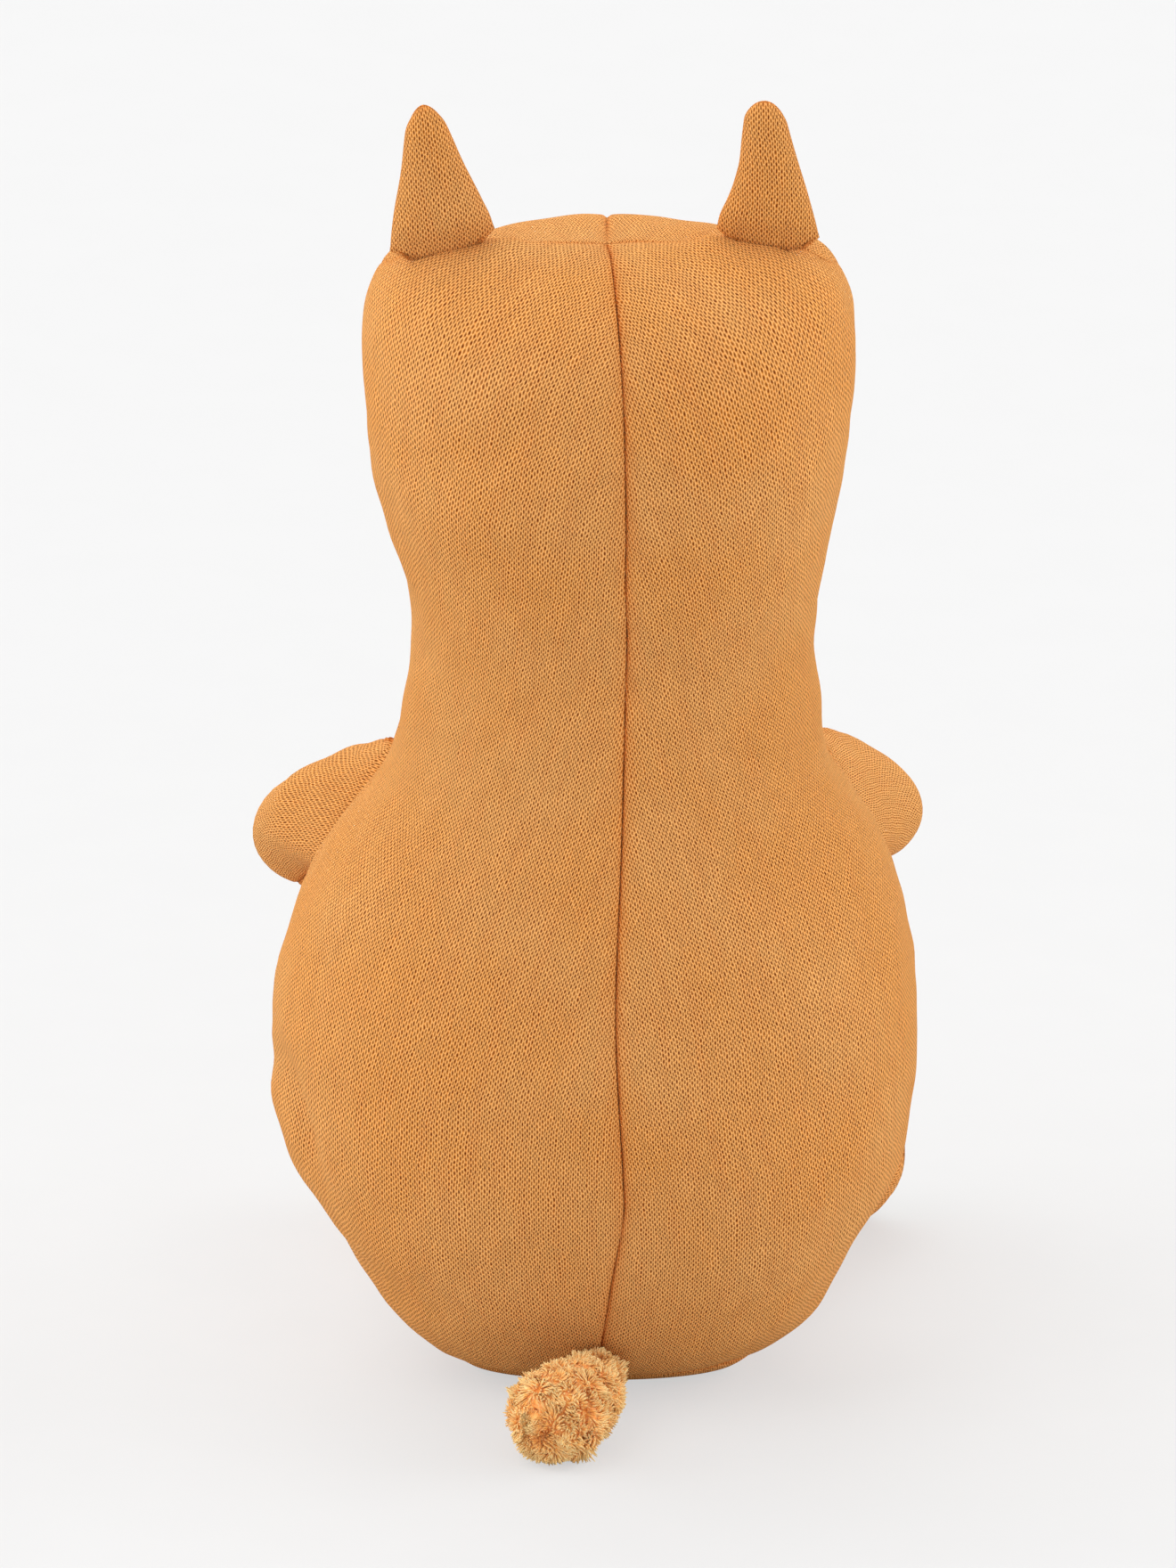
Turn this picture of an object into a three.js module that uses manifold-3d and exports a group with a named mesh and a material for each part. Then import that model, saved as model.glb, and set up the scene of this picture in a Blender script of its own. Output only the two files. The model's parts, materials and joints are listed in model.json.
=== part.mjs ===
// A seated knitted plush animal: a stuffed pear-shaped body and head in one sewn cover, pointed ears,
// short arms and legs that hinge at their sewn roots, and a tail of rolled fur.
// Millimetres, +Z up. The toy sits on the plane z = 0 and faces -Y, so +X is its own left side.

import * as THREE from "three";
import { mergeVertices } from "three/addons/utils/BufferGeometryUtils.js";
import Module from "manifold-3d";

const wasm = await Module();
wasm.setup();

// Fabric and gaps
const KNIT = 1.5; // thickness of the knitted cover
const FIT = 0.3; // gap between pieces that touch
const PRESSED = 0.5; // how far the floor flattens each part that rests on it
const FAR = 400; // half size of a cutting block, larger than the toy

// Torso and head: one form from seat to crown. A landmark gives half the width, and the depths
// measured from the side seams.
const HIP = { z: 94.6, side: 87.3, back: 63, front: 66 };
const NECK = { z: 207, side: 54.2, back: 42, front: 42 };
const TEMPLE = { z: 285, side: 66.3, back: 50, front: 50 }; // the head closes over from here
const CROWN_Z = 326.5;
const SEAT_SQUARE = 2.05; // squareness of the seat's bowl
const CROWN_SQUARE = 4; // squareness of the crown, seen from the front
const CROWN_ROUND = 2.1; // and seen from the side
const SECTION_SQUARE = 2.2; // squareness of a level section
const ROOT_SQUARE = 5; // squareness of the room that a limb needs at its root

// A station on the way from one landmark to the next. Shares tell how much of each measure's
// change has happened there.
const between = (low, high, shares) =>
  Object.fromEntries(
    Object.entries(shares).map(([key, share]) => [key, low[key] + share * (high[key] - low[key])]),
  );
const TORSO_STATIONS = [
  HIP,
  between(HIP, NECK, { z: 0.19, side: 0.04, back: 0.1, front: 0.04 }),
  between(HIP, NECK, { z: 0.37, side: 0.19, back: 0.29, front: 0.25 }),
  between(HIP, NECK, { z: 0.555, side: 0.5, back: 0.57, front: 0.54 }),
  between(HIP, NECK, { z: 0.653, side: 0.72, back: 0.73, front: 0.72 }),
  between(HIP, NECK, { z: 0.76, side: 0.885, back: 0.86, front: 0.875 }),
  NECK,
  between(NECK, TEMPLE, { z: 0.333, side: 0.265, back: 0.375, front: 0.375 }),
  between(NECK, TEMPLE, { z: 0.68, side: 0.79, back: 0.875, front: 0.875 }),
  TEMPLE,
];
const TORSO_SIDES = 24;
const SEAT_RINGS = 5;
const WAIST_RINGS = 9;
const CROWN_RINGS = 4;
const LIMB_SIDES = 14;
const SHAFT_RINGS = 5;
const ROOT_SHARES = [0.88, 0.5, 0]; // places of a rounded root's rings, as shares of its radius
const TIP_QUARTERS = [28, 56, 78]; // places of a rounded tip's rings, in degrees
const LATHE_SIDES = 14;
const DOME_QUARTERS = [0, 35, 65]; // places of the eye dome's rings, in degrees
const ROOT_REACH = 40; // how far from its place a root is looked for
const HALVINGS = 12;

// Seams of the torso cover
const CROWN_SEAM_Y = 12.7; // where the back panels end on the crown
const THROAT_SEAM_Z = 222; // face panels above, belly panel below
const SEAT_SEAM_Z = 12; // top of the seat panel

// Muzzle
const MUZZLE = { y: -38, z: 256, halfWidth: 34, reach: 33, halfHeight: 26 };

// Filling: the head's meets the body's at the neck
const PELLETS = { z: 18, halfWidth: 43, halfDepth: 32, halfHeight: 13.5 };

// Limbs, ears and tail are forms along a spine that starts at a sewn root. Each station lies at a
// share of the length, and gives half the width along the root's line and half the thickness
// across it.
const ARM = {
  z: 149,
  around: -30, // degrees round the body from its side towards the front
  length: 60,
  slant: 26, // degrees that the whole arm leans down along the body
  bend: 40, // degrees more that the hand hangs down
  rootRadius: 2.2,
  stations: [
    { at: 0, wide: 19.5, thick: 2.2 },
    { at: 0.2, wide: 21.5, thick: 7.5 },
    { at: 0.43, wide: 22.5, thick: 14 },
    { at: 0.68, wide: 20, thick: 15.5 },
  ],
};
// Degrees that each arm points from straight sideways towards the front
const ARM_HEADING = { left: 84, right: 90 };
const LEG = {
  around: -60,
  length: 94,
  bend: 0,
  rootRadius: 2.2,
  stations: [
    { at: 0, wide: 16, thick: 2.2 },
    { at: 0.11, wide: 18, thick: 8.5 },
    { at: 0.3, wide: 20, thick: 18 },
    { at: 0.64, wide: 20.5, thick: 20 },
    { at: 0.81, wide: 23, thick: 22 },
  ],
};
const LEG_SPLAY = { left: 8, right: 22 }; // degrees that each leg turns out
const SOLE = 12; // how far the sole panel reaches back from the toes
const EAR = {
  x: 43.4, // middle of the base
  length: 39,
  bend: 0,
  rootRadius: 2,
  stations: [
    { at: 0, wide: 14.6, thick: 2 },
    { at: 0.23, wide: 13.2, thick: 4.2 },
    { at: 0.49, wide: 10.3, thick: 4.2 },
    { at: 0.87, wide: 5.8, thick: 3.4 },
  ],
};
const EAR_LEAN = { left: 9, right: -2 }; // degrees that each ear leans outwards
const TAIL = {
  around: 90,
  length: 52,
  bend: 42, // degrees that the end turns to the toy's left
  rootRadius: 5,
  stations: [
    { at: 0, wide: 6.5, thick: 5 },
    { at: 0.19, wide: 8, thick: 8 },
    { at: 0.46, wide: 12.8, thick: 12.8 },
    { at: 0.73, wide: 13.5, thick: 13.5 },
  ],
};
const TAPE = { halfWide: 3, halfThick: 1.2, length: 38 };

// Face
const EYE = { z: 278, around: -58, radius: 5.2, dome: 3.4, shankRadius: 1.8, shank: 6.5 };
const WASHER = { radius: 5.5, thick: 1.4, behind: 2.6 };
const NOSE = { aboveMuzzle: 10, halfWidth: 9, halfHeight: 6, raised: 1.4 };
const NOSE_Z = MUZZLE.z + NOSE.aboveMuzzle;
const MOUTH = { halfThread: 0.7, stem: 6, lipRadius: 5.5, lipTurn: 140, raised: 0.8 };

// Materials
const paint = (color, roughness, metalness = 0) =>
  new THREE.MeshStandardMaterial({ color, roughness, metalness });
const knit = paint(0xd9924e, 0.95);
const lining = paint(0xf0dfc4, 0.95);
const fur = paint(0xe6ab62, 1);
const fibre = paint(0xf4f2ec, 1);
const sacking = paint(0xd8d2c4, 0.9);
const gloss = paint(0x14110f, 0.15);
const nylon = paint(0xe9e9e4, 0.5);
const thread = paint(0x3b2417, 0.7);

const radians = THREE.MathUtils.degToRad;
const point = (x, y, z) => new THREE.Vector3(x, y, z);

// A closed geometry as a solid that can be cut and joined.
function toSolid(geometry) {
  const bare = geometry.clone();
  bare.deleteAttribute("normal");
  bare.deleteAttribute("uv");
  const merged = mergeVertices(bare, 1e-4);
  return new wasm.Manifold(
    new wasm.Mesh({
      numProp: 3,
      vertProperties: merged.attributes.position.array,
      triVerts: new Uint32Array(merged.index.array),
    }),
  );
}

// A solid as a geometry.
function toGeometry(solid) {
  const { vertProperties, triVerts } = solid.getMesh();
  const geometry = new THREE.BufferGeometry();
  geometry.setAttribute("position", new THREE.BufferAttribute(vertProperties, 3));
  geometry.setIndex(new THREE.BufferAttribute(triVerts, 1));
  geometry.computeVertexNormals();
  return geometry;
}

// A solid as a named mesh.
function toMesh(name, solid, material) {
  const mesh = new THREE.Mesh(toGeometry(solid), material);
  mesh.name = name;
  return mesh;
}

// What lies beyond a plane square to one axis, on its higher or its lower side.
function halfSpace(axis, at, side) {
  const low = point(-FAR, -FAR, -FAR);
  const high = point(FAR, FAR, FAR);
  if (side > 0) low[axis] = at;
  else high[axis] = at;
  const size = high.clone().sub(low);
  const middle = low.clone().add(high).multiplyScalar(0.5);
  const box = new THREE.BoxGeometry(size.x, size.y, size.z);
  return toSolid(box.translate(middle.x, middle.y, middle.z));
}

// One measure of a list of stations at a place along it, on a smooth curve through them.
function along(stations, place, key, at) {
  const last = stations.length - 1;
  if (at <= stations[0][place]) return stations[0][key];
  if (at >= stations[last][place]) return stations[last][key];
  const i = stations.findIndex((s) => s[place] > at) - 1;
  const [b, c] = [stations[i], stations[i + 1]];
  const slope = (p, q) => (q[key] - p[key]) / (q[place] - p[place]);
  const startSlope = i === 0 ? 0 : slope(stations[i - 1], c);
  const endSlope = i + 1 === last ? 0 : slope(b, stations[i + 2]);
  const width = c[place] - b[place];
  const t = (at - b[place]) / width;
  return (
    b[key] * (1 + 2 * t) * (1 - t) ** 2 +
    startSlope * width * t * (1 - t) ** 2 +
    c[key] * t * t * (3 - 2 * t) +
    endSlope * width * t * t * (t - 1)
  );
}

// A closed surface through rings of points, with a pole at each end.
function skinOver(rings, firstPole, lastPole) {
  const sides = rings[0].length;
  const points = [firstPole, ...rings.flat(), lastPole];
  const faces = [];
  for (let j = 0; j < sides; j++) {
    const next = (j + 1) % sides;
    faces.push(0, 1 + next, 1 + j);
    for (let i = 0; i + 1 < rings.length; i++) {
      const low = 1 + i * sides;
      const high = low + sides;
      faces.push(low + j, low + next, high + next, low + j, high + next, high + j);
    }
    const top = 1 + (rings.length - 1) * sides;
    faces.push(top + j, top + next, points.length - 1);
  }
  const geometry = new THREE.BufferGeometry().setFromPoints(points);
  geometry.setIndex(faces);
  return geometry;
}

// A point's place on a rounded-square section of unit size.
function onSection(angle, squareness) {
  const bulge = (c) => Math.sign(c) * Math.abs(c) ** (2 / squareness);
  return [bulge(Math.cos(angle)), bulge(Math.sin(angle))];
}

// What is left of a unit width at a share of the way to a rounded end.
function closing(share, squareness) {
  return Math.max(0, 1 - Math.min(1, Math.max(0, share)) ** squareness) ** (1 / squareness);
}

// Half width and depths of the torso at a height. Inset makes the same form smaller all round.
function torsoSize(z, inset) {
  const low = closing((HIP.z - z) / (HIP.z + PRESSED - inset), SEAT_SQUARE);
  const rise = (z - TEMPLE.z) / (CROWN_Z - inset - TEMPLE.z);
  const deep = low * closing(rise, CROWN_ROUND);
  return {
    side: low * closing(rise, CROWN_SQUARE) * (along(TORSO_STATIONS, "z", "side", z) - inset),
    back: deep * (along(TORSO_STATIONS, "z", "back", z) - inset),
    front: deep * (along(TORSO_STATIONS, "z", "front", z) - inset),
  };
}

// A point of the torso at a height and an angle: 0 is the toy's left side, 90 degrees its back.
function torsoPoint(z, angle, inset = 0) {
  const size = torsoSize(z, inset);
  const [across, deep] = onSection(angle, SECTION_SQUARE);
  return point(size.side * across, deep * (deep > 0 ? size.back : size.front), z);
}

// A frame on the torso: its place, its outward direction and the direction down the body.
function torsoFrame(z, degrees) {
  const angle = radians(degrees);
  const place = torsoPoint(z, angle);
  const down = torsoPoint(z - 1, angle).sub(torsoPoint(z + 1, angle)).normalize();
  const round = torsoPoint(z, angle + 0.01).sub(torsoPoint(z, angle - 0.01));
  const out = down.clone().cross(round).normalize();
  return { place, out, down };
}

// The torso's form, closed at the crown and pressed flat at the seat.
function torsoForm(inset) {
  const heights = [inset];
  const bowl = HIP.z - inset;
  const dome = CROWN_Z - inset - TEMPLE.z;
  for (let i = 1; i <= SEAT_RINGS; i++) {
    heights.push(HIP.z - bowl * Math.cos((i / SEAT_RINGS) * (Math.PI / 2)));
  }
  for (let i = 1; i <= WAIST_RINGS; i++) {
    heights.push(HIP.z + (i / WAIST_RINGS) * (TEMPLE.z - HIP.z));
  }
  for (let i = 1; i <= CROWN_RINGS; i++) {
    const quarter = (i / (CROWN_RINGS + 1)) * (Math.PI / 2);
    heights.push(TEMPLE.z + dome * Math.sin(quarter) ** (2 / CROWN_SQUARE));
  }
  const rings = heights.map((z) =>
    Array.from({ length: TORSO_SIDES }, (_, j) =>
      torsoPoint(z, (j / TORSO_SIDES) * 2 * Math.PI, inset),
    ),
  );
  return toSolid(skinOver(rings, point(0, 0, inset), point(0, 0, TEMPLE.z + dome)));
}

// The muzzle's form: a rounded snout set into the front of the head.
function muzzleForm(inset) {
  const ball = new THREE.SphereGeometry(1, 20, 12).rotateX(Math.PI / 2);
  ball.scale(MUZZLE.halfWidth - inset, MUZZLE.reach - inset, MUZZLE.halfHeight - inset);
  return toSolid(ball.translate(0, MUZZLE.y, MUZZLE.z));
}

// Body and head with the muzzle on.
const stuffedForm = (inset) => torsoForm(inset).add(muzzleForm(inset));

// What lies behind the side seams and the crown seam, or in front of them.
function besideSeams(side) {
  const shift = (side * FIT) / 2;
  const edge = new THREE.Path();
  edge.moveTo(shift, -FAR);
  edge.lineTo(shift, TEMPLE.z);
  edge.quadraticCurveTo(shift, CROWN_Z, CROWN_SEAM_Y + shift, CROWN_Z + FIT);
  edge.lineTo(CROWN_SEAM_Y + shift, FAR);
  const outline = edge.getPoints(6);
  outline.push(new THREE.Vector2(side * FAR, FAR), new THREE.Vector2(side * FAR, -FAR));
  const shape = new THREE.Shape(outline);
  const across = new THREE.ExtrudeGeometry(shape, { depth: 2 * FAR, bevelEnabled: false });
  const sideways = new THREE.Matrix4().makeBasis(point(0, 1, 0), point(0, 0, 1), point(1, 0, 0));
  return toSolid(across.applyMatrix4(sideways).translate(-FAR, 0, 0));
}

// The torso's own faces, for setting roots against it
const outerTorso = stuffedForm(0);
const torsoFaces = (() => {
  const { position } = toGeometry(outerTorso).toNonIndexed().attributes;
  const corner = (i) => new THREE.Vector3().fromBufferAttribute(position, i);
  return Array.from(
    { length: position.count / 3 },
    (_, i) => new THREE.Triangle(corner(3 * i), corner(3 * i + 1), corner(3 * i + 2)),
  );
})();

function distanceToTorso(place) {
  const near = new THREE.Vector3();
  return Math.min(
    ...torsoFaces.map((face) => face.closestPointToPoint(place, near).distanceTo(place)),
  );
}

// Where a rounded root's middle lies when its line just clears the torso, found by halving.
function besideTorso(place, outward, line, halfLength, radius) {
  const clear = (offset) => {
    for (let u = -1; u <= 1; u += 0.125) {
      const probe = place.clone().addScaledVector(outward, offset);
      probe.addScaledVector(line, u * halfLength);
      const thick = radius * closing(Math.abs(u), ROOT_SQUARE);
      if (distanceToTorso(probe) < thick + FIT) return false;
    }
    return true;
  };
  let [low, high] = [0, ROOT_REACH];
  for (let i = 0; i < HALVINGS; i++) {
    const middle = (low + high) / 2;
    if (clear(middle)) high = middle;
    else low = middle;
  }
  return place.clone().addScaledVector(outward, high);
}

// A limb's form in its own frame: X runs out along the spine and Z along the sewn root.
// The spine bends evenly towards +Z, or with a slant leans that way from the start. An open root
// lets the form be cut out of a larger one.
function limbForm(limb, inset, openRoot, sides = LIMB_SIDES) {
  const stations = limb.stations.map((s) => ({ ...s, at: s.at * limb.length }));
  const tipStart = stations.at(-1).at;
  const tip = limb.length - inset - tipStart;
  const root = limb.rootRadius;
  const places = openRoot ? [-2 * root, 0] : ROOT_SHARES.map((share) => -share * root);
  for (let i = 1; i <= SHAFT_RINGS; i++) places.push((i / SHAFT_RINGS) * tipStart);
  for (const quarter of TIP_QUARTERS) {
    places.push(tipStart + tip * Math.sin(radians(quarter)));
  }
  const curve = radians(limb.bend) / limb.length;
  const spine = (at) => {
    const turn = curve * Math.max(0, at);
    const middle = curve
      ? point(Math.sin(turn) / curve, 0, (1 - Math.cos(turn)) / curve)
      : point(at, 0, 0);
    if (at < 0) middle.x = at;
    middle.z += middle.x * Math.tan(radians(limb.slant ?? 0));
    return { middle, wide: point(-Math.sin(turn), 0, Math.cos(turn)) };
  };
  const rings = places.map((at) => {
    const end = closing((at - tipStart) / tip, 2);
    const start = openRoot ? 1 : closing(-at / root, 2);
    const wide = (along(stations, "at", "wide", at) - inset - root * (1 - start)) * end;
    const thick = (along(stations, "at", "thick", at) - inset) * start * end;
    const { middle, wide: across } = spine(at);
    return Array.from({ length: sides }, (_, j) => {
      const [y, z] = onSection((j / sides) * 2 * Math.PI, SECTION_SQUARE);
      return middle.clone().addScaledVector(across, z * wide).add(point(0, y * thick, 0));
    });
  });
  const rootPole = spine(openRoot ? -2 * root : -root).middle;
  return toSolid(skinOver(rings, rootPole, spine(limb.length - inset).middle));
}

// A group placed at a root, with X out along the limb and Z along the root's line.
function rootGroup(place, outward, line) {
  const group = new THREE.Group();
  const across = new THREE.Vector3().crossVectors(line, outward).normalize();
  const out = new THREE.Vector3().crossVectors(across, line).normalize();
  group.position.copy(place);
  group.quaternion.setFromRotationMatrix(new THREE.Matrix4().makeBasis(out, across, line));
  return group;
}

// Cover and filling of a limb in its own frame, flattened where y reaches the floor.
function stuffedLimb(limb, floor = FAR) {
  const form = (inset, openRoot) =>
    limbForm(limb, inset, openRoot).intersect(halfSpace("y", floor - inset, -1));
  const filling = form(KNIT + FIT, true).intersect(halfSpace("x", limb.rootRadius, 1));
  return { cover: form(0, false).subtract(form(KNIT, true)), filling };
}

function arm(side) {
  const name = side > 0 ? "left" : "right";
  const { place, down } = torsoFrame(ARM.z, side > 0 ? ARM.around : 180 - ARM.around);
  const heading = radians(ARM_HEADING[name]);
  const outward = point(side * Math.cos(heading), -Math.sin(heading), 0);
  const hinge = besideTorso(place, outward, down, ARM.stations[0].wide, ARM.rootRadius);
  const { cover, filling } = stuffedLimb(ARM);
  const group = rootGroup(hinge, outward, down);
  group.name = name + "_arm";
  group.add(toMesh(name + "_arm_cover", cover, knit));
  group.add(toMesh(name + "_arm_filling", filling, fibre));
  return group;
}

function leg(side) {
  const name = side > 0 ? "left" : "right";
  const height = LEG.stations.at(-1).thick - PRESSED;
  const { place } = torsoFrame(height, side > 0 ? LEG.around : 180 - LEG.around);
  const splay = radians(LEG_SPLAY[name]);
  const outward = point(side * Math.sin(splay), -Math.cos(splay), 0);
  const line = point(Math.cos(splay), side * Math.sin(splay), 0);
  const hinge = besideTorso(place, outward, line, LEG.stations[0].wide, LEG.rootRadius);
  const { cover, filling } = stuffedLimb(LEG, hinge.z);
  const group = rootGroup(hinge, outward, line);
  group.name = name + "_leg";
  const upper = cover.intersect(halfSpace("x", LEG.length - SOLE - FIT / 2, -1));
  const sole = cover.intersect(halfSpace("x", LEG.length - SOLE + FIT / 2, 1));
  group.add(toMesh(name + "_leg_cover", upper, knit));
  group.add(toMesh(name + "_foot_sole", sole, lining));
  group.add(toMesh(name + "_leg_filling", filling, fibre));
  return group;
}

function ear(side) {
  const name = side > 0 ? "left" : "right";
  const seamHeight = (x) => {
    let [low, high] = [TEMPLE.z, CROWN_Z];
    for (let i = 0; i < 2 * HALVINGS; i++) {
      const z = (low + high) / 2;
      const { side: wide, back } = torsoSize(z, 0);
      const across = (Math.abs(x) / wide) ** SECTION_SQUARE;
      if (across + (CROWN_SEAM_Y / back) ** SECTION_SQUARE < 1) low = z;
      else high = z;
    }
    return low;
  };
  const onSeam = (x) => point(x, CROWN_SEAM_Y, seamHeight(x));
  const half = EAR.stations[0].wide;
  const line = onSeam(side * (EAR.x + half)).sub(onSeam(side * (EAR.x - half)));
  line.normalize().multiplyScalar(-side);
  const outward = point(-line.z, 0, line.x).multiplyScalar(Math.sign(line.x));
  const hinge = besideTorso(onSeam(side * EAR.x), outward, line, half, EAR.rootRadius);
  const slope = THREE.MathUtils.radToDeg(Math.asin(Math.abs(line.z)));
  const form = limbForm({ ...EAR, slant: side * (slope - EAR_LEAN[name]) }, 0, false, 12);
  const group = rootGroup(hinge, outward, line);
  group.name = name + "_ear";
  group.add(toMesh(name + "_ear_back", form.intersect(halfSpace("y", FIT / 2, 1)), knit));
  group.add(toMesh(name + "_ear_lining", form.intersect(halfSpace("y", -FIT / 2, -1)), knit));
  return group;
}

function tail() {
  const height = TAIL.stations.at(-1).thick - PRESSED;
  const { place, out } = torsoFrame(height, TAIL.around);
  const outward = out.clone().setZ(0).normalize();
  const line = point(outward.y, -outward.x, 0);
  const hinge = besideTorso(place, outward, line, 0, TAIL.rootRadius);
  const bend = (length) => (TAIL.bend * length) / TAIL.length;
  const section = { wide: TAPE.halfWide, thick: TAPE.halfThick };
  const tapeForm = {
    length: TAPE.length,
    bend: bend(TAPE.length),
    rootRadius: TAPE.halfThick,
    stations: [{ at: 0, ...section }, { at: 1 - TAPE.halfWide / TAPE.length, ...section }],
  };
  const bore = limbForm(tapeForm, -FIT, true, 8);
  const [thick, wide] = [2 * (TAPE.halfThick + FIT), 2 * (TAPE.halfWide + FIT)];
  const pastRoot = toSolid(new THREE.BoxGeometry(2 * TAIL.rootRadius, thick, wide));
  const roll = limbForm(TAIL, 0, false)
    .subtract(bore)
    .subtract(pastRoot.translate([-TAIL.rootRadius, 0, 0]))
    .intersect(halfSpace("y", hinge.z, -1));
  const group = rootGroup(hinge, outward, line);
  group.name = "tail";
  group.add(toMesh("tail_fur", roll, fur));
  group.add(toMesh("tail_tape", limbForm(tapeForm, 0, false, 8), sacking));
  return group;
}

// A safety eye, its washer and the room that they need in the head, along +Y from the surface.
function eyeParts() {
  const turned = (profile) =>
    toSolid(
      new THREE.LatheGeometry(profile.map(([r, h]) => new THREE.Vector2(r, h)), LATHE_SIDES),
    );
  const { radius, dome, shankRadius, shank } = EYE;
  const domeCurve = DOME_QUARTERS.map(radians).map((quarter) => [
    radius * Math.cos(quarter),
    FIT + dome * Math.sin(quarter),
  ]);
  const eye = turned([
    [0, -shank],
    [shankRadius, -shank],
    [shankRadius, FIT],
    ...domeCurve,
    [0, FIT + dome],
  ]);
  const hole = shankRadius + FIT;
  const disc = (r, from, to) => turned([[0, from], [r, from], [r, to], [0, to]]);
  const behind = -WASHER.behind;
  const washer = disc(WASHER.radius, behind - WASHER.thick, behind).subtract(
    disc(hole, behind - 2 * WASHER.thick, behind + WASHER.thick),
  );
  const coverRoom = disc(hole, -2 * shank, 2 * FIT);
  const fillingRoom = disc(WASHER.radius + FIT, -shank - FIT, 2 * FIT);
  return { eye, washer, coverRoom, fillingRoom };
}

// The eyes' places on the head, as matrices that turn +Y outward.
function eyePlace(side) {
  const { place, out } = torsoFrame(EYE.z, side > 0 ? EYE.around : 180 - EYE.around);
  const turn = new THREE.Quaternion().setFromUnitVectors(point(0, 1, 0), out);
  return new THREE.Matrix4().compose(place, turn, point(1, 1, 1));
}

// A patch that follows the muzzle's front inside an outline drawn in x and z.
function onMuzzle(shapes, raised) {
  const outlines = shapes.map((shape) => {
    const cut = { depth: FAR, bevelEnabled: false, curveSegments: 5 };
    const slab = new THREE.ExtrudeGeometry(shape, cut);
    return toSolid(slab.rotateX(Math.PI / 2).translate(0, MUZZLE.y, 0));
  });
  return muzzleForm(-FIT - raised)
    .intersect(wasm.Manifold.union(outlines))
    .subtract(stuffedForm(-FIT));
}

function noseShape() {
  const shape = new THREE.Shape();
  shape.absellipse(0, NOSE_Z, NOSE.halfWidth, NOSE.halfHeight, 0, 2 * Math.PI);
  return shape;
}

// A stem under the nose that parts into two lips.
function mouthShapes() {
  const { halfThread, stem, lipRadius, lipTurn } = MOUTH;
  const top = NOSE_Z - NOSE.halfHeight - 3 * FIT;
  const bar = new THREE.Shape();
  bar.moveTo(-halfThread, top - stem - halfThread);
  bar.lineTo(halfThread, top - stem - halfThread);
  bar.lineTo(halfThread, top);
  bar.lineTo(-halfThread, top);
  const lip = (side) => {
    const arc = new THREE.Shape();
    const from = side > 0 ? Math.PI : 0;
    const to = from + side * radians(lipTurn);
    arc.absarc(side * lipRadius, top - stem, lipRadius + halfThread, from, to, side < 0);
    arc.absarc(side * lipRadius, top - stem, lipRadius - halfThread, to, from, side > 0);
    return arc;
  };
  return [bar, lip(1), lip(-1)];
}

// Torso cover, cut into its panels along the seams
const skin = outerTorso.subtract(stuffedForm(KNIT));
const back = skin.intersect(besideSeams(1));
const front = skin.intersect(besideSeams(-1));
const leftSide = halfSpace("x", FIT / 2, 1);
const rightSide = halfSpace("x", -FIT / 2, -1);
const aboveSeat = halfSpace("z", SEAT_SEAM_Z + FIT / 2, 1);
const { eye, washer, coverRoom, fillingRoom } = eyeParts();
const eyes = { left: eyePlace(1), right: eyePlace(-1) };
const placed = (solid, name) => solid.transform(eyes[name].elements);
const face = front.intersect(halfSpace("z", THROAT_SEAM_Z + FIT / 2, 1));
const belly = front.intersect(halfSpace("z", THROAT_SEAM_Z - FIT / 2, -1)).intersect(aboveSeat);

const toy = new THREE.Group();
toy.add(toMesh("back_panel_left", back.intersect(leftSide).intersect(aboveSeat), knit));
toy.add(toMesh("back_panel_right", back.intersect(rightSide).intersect(aboveSeat), knit));
toy.add(
  toMesh("face_panel_left", face.intersect(leftSide).subtract(placed(coverRoom, "left")), knit),
);
toy.add(
  toMesh("face_panel_right", face.intersect(rightSide).subtract(placed(coverRoom, "right")), knit),
);
toy.add(toMesh("belly_panel", belly, knit));
toy.add(toMesh("seat_panel", skin.intersect(halfSpace("z", SEAT_SEAM_Z - FIT / 2, -1)), knit));

// Filling of the torso, with room for the bag of pellets and the washers
const stuffing = stuffedForm(KNIT + FIT);
function pelletForm(grow) {
  const bag = new THREE.SphereGeometry(1, 14, 8).rotateX(Math.PI / 2);
  bag.scale(PELLETS.halfWidth + grow, PELLETS.halfDepth + grow, PELLETS.halfHeight + grow);
  return toSolid(bag.translate(0, 0, PELLETS.z));
}
const bodyFilling = stuffing.intersect(halfSpace("z", NECK.z - FIT / 2, -1));
const headFilling = stuffing.intersect(halfSpace("z", NECK.z + FIT / 2, 1));
toy.add(toMesh("body_filling", bodyFilling.subtract(pelletForm(FIT)), fibre));
toy.add(
  toMesh(
    "head_filling",
    headFilling.subtract(placed(fillingRoom, "left")).subtract(placed(fillingRoom, "right")),
    fibre,
  ),
);
toy.add(toMesh("pellet_bag", stuffing.intersect(pelletForm(0)), sacking));

for (const name of ["left", "right"]) {
  toy.add(toMesh(name + "_eye", placed(eye, name), gloss));
  toy.add(toMesh(name + "_eye_washer", placed(washer, name), nylon));
}
toy.add(toMesh("nose", onMuzzle([noseShape()], NOSE.raised), thread));
toy.add(toMesh("mouth_stitching", onMuzzle(mouthShapes(), MOUTH.raised), thread));

for (const side of [1, -1]) {
  toy.add(ear(side));
  toy.add(arm(side));
  toy.add(leg(side));
}
toy.add(tail());

export default toy;
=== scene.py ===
"""Looks of a seated knitted plush animal, seen from behind as in the photograph.

Forms are worked out in millimetres in the CAD's frame: +Z up, the face looks along -Y and +X is the
toy's own left side. Meshes are written in metres.
"""
import json
import math

import bmesh
import bpy
import numpy as np
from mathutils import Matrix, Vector
from mathutils.bvhtree import BVHTree


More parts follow.
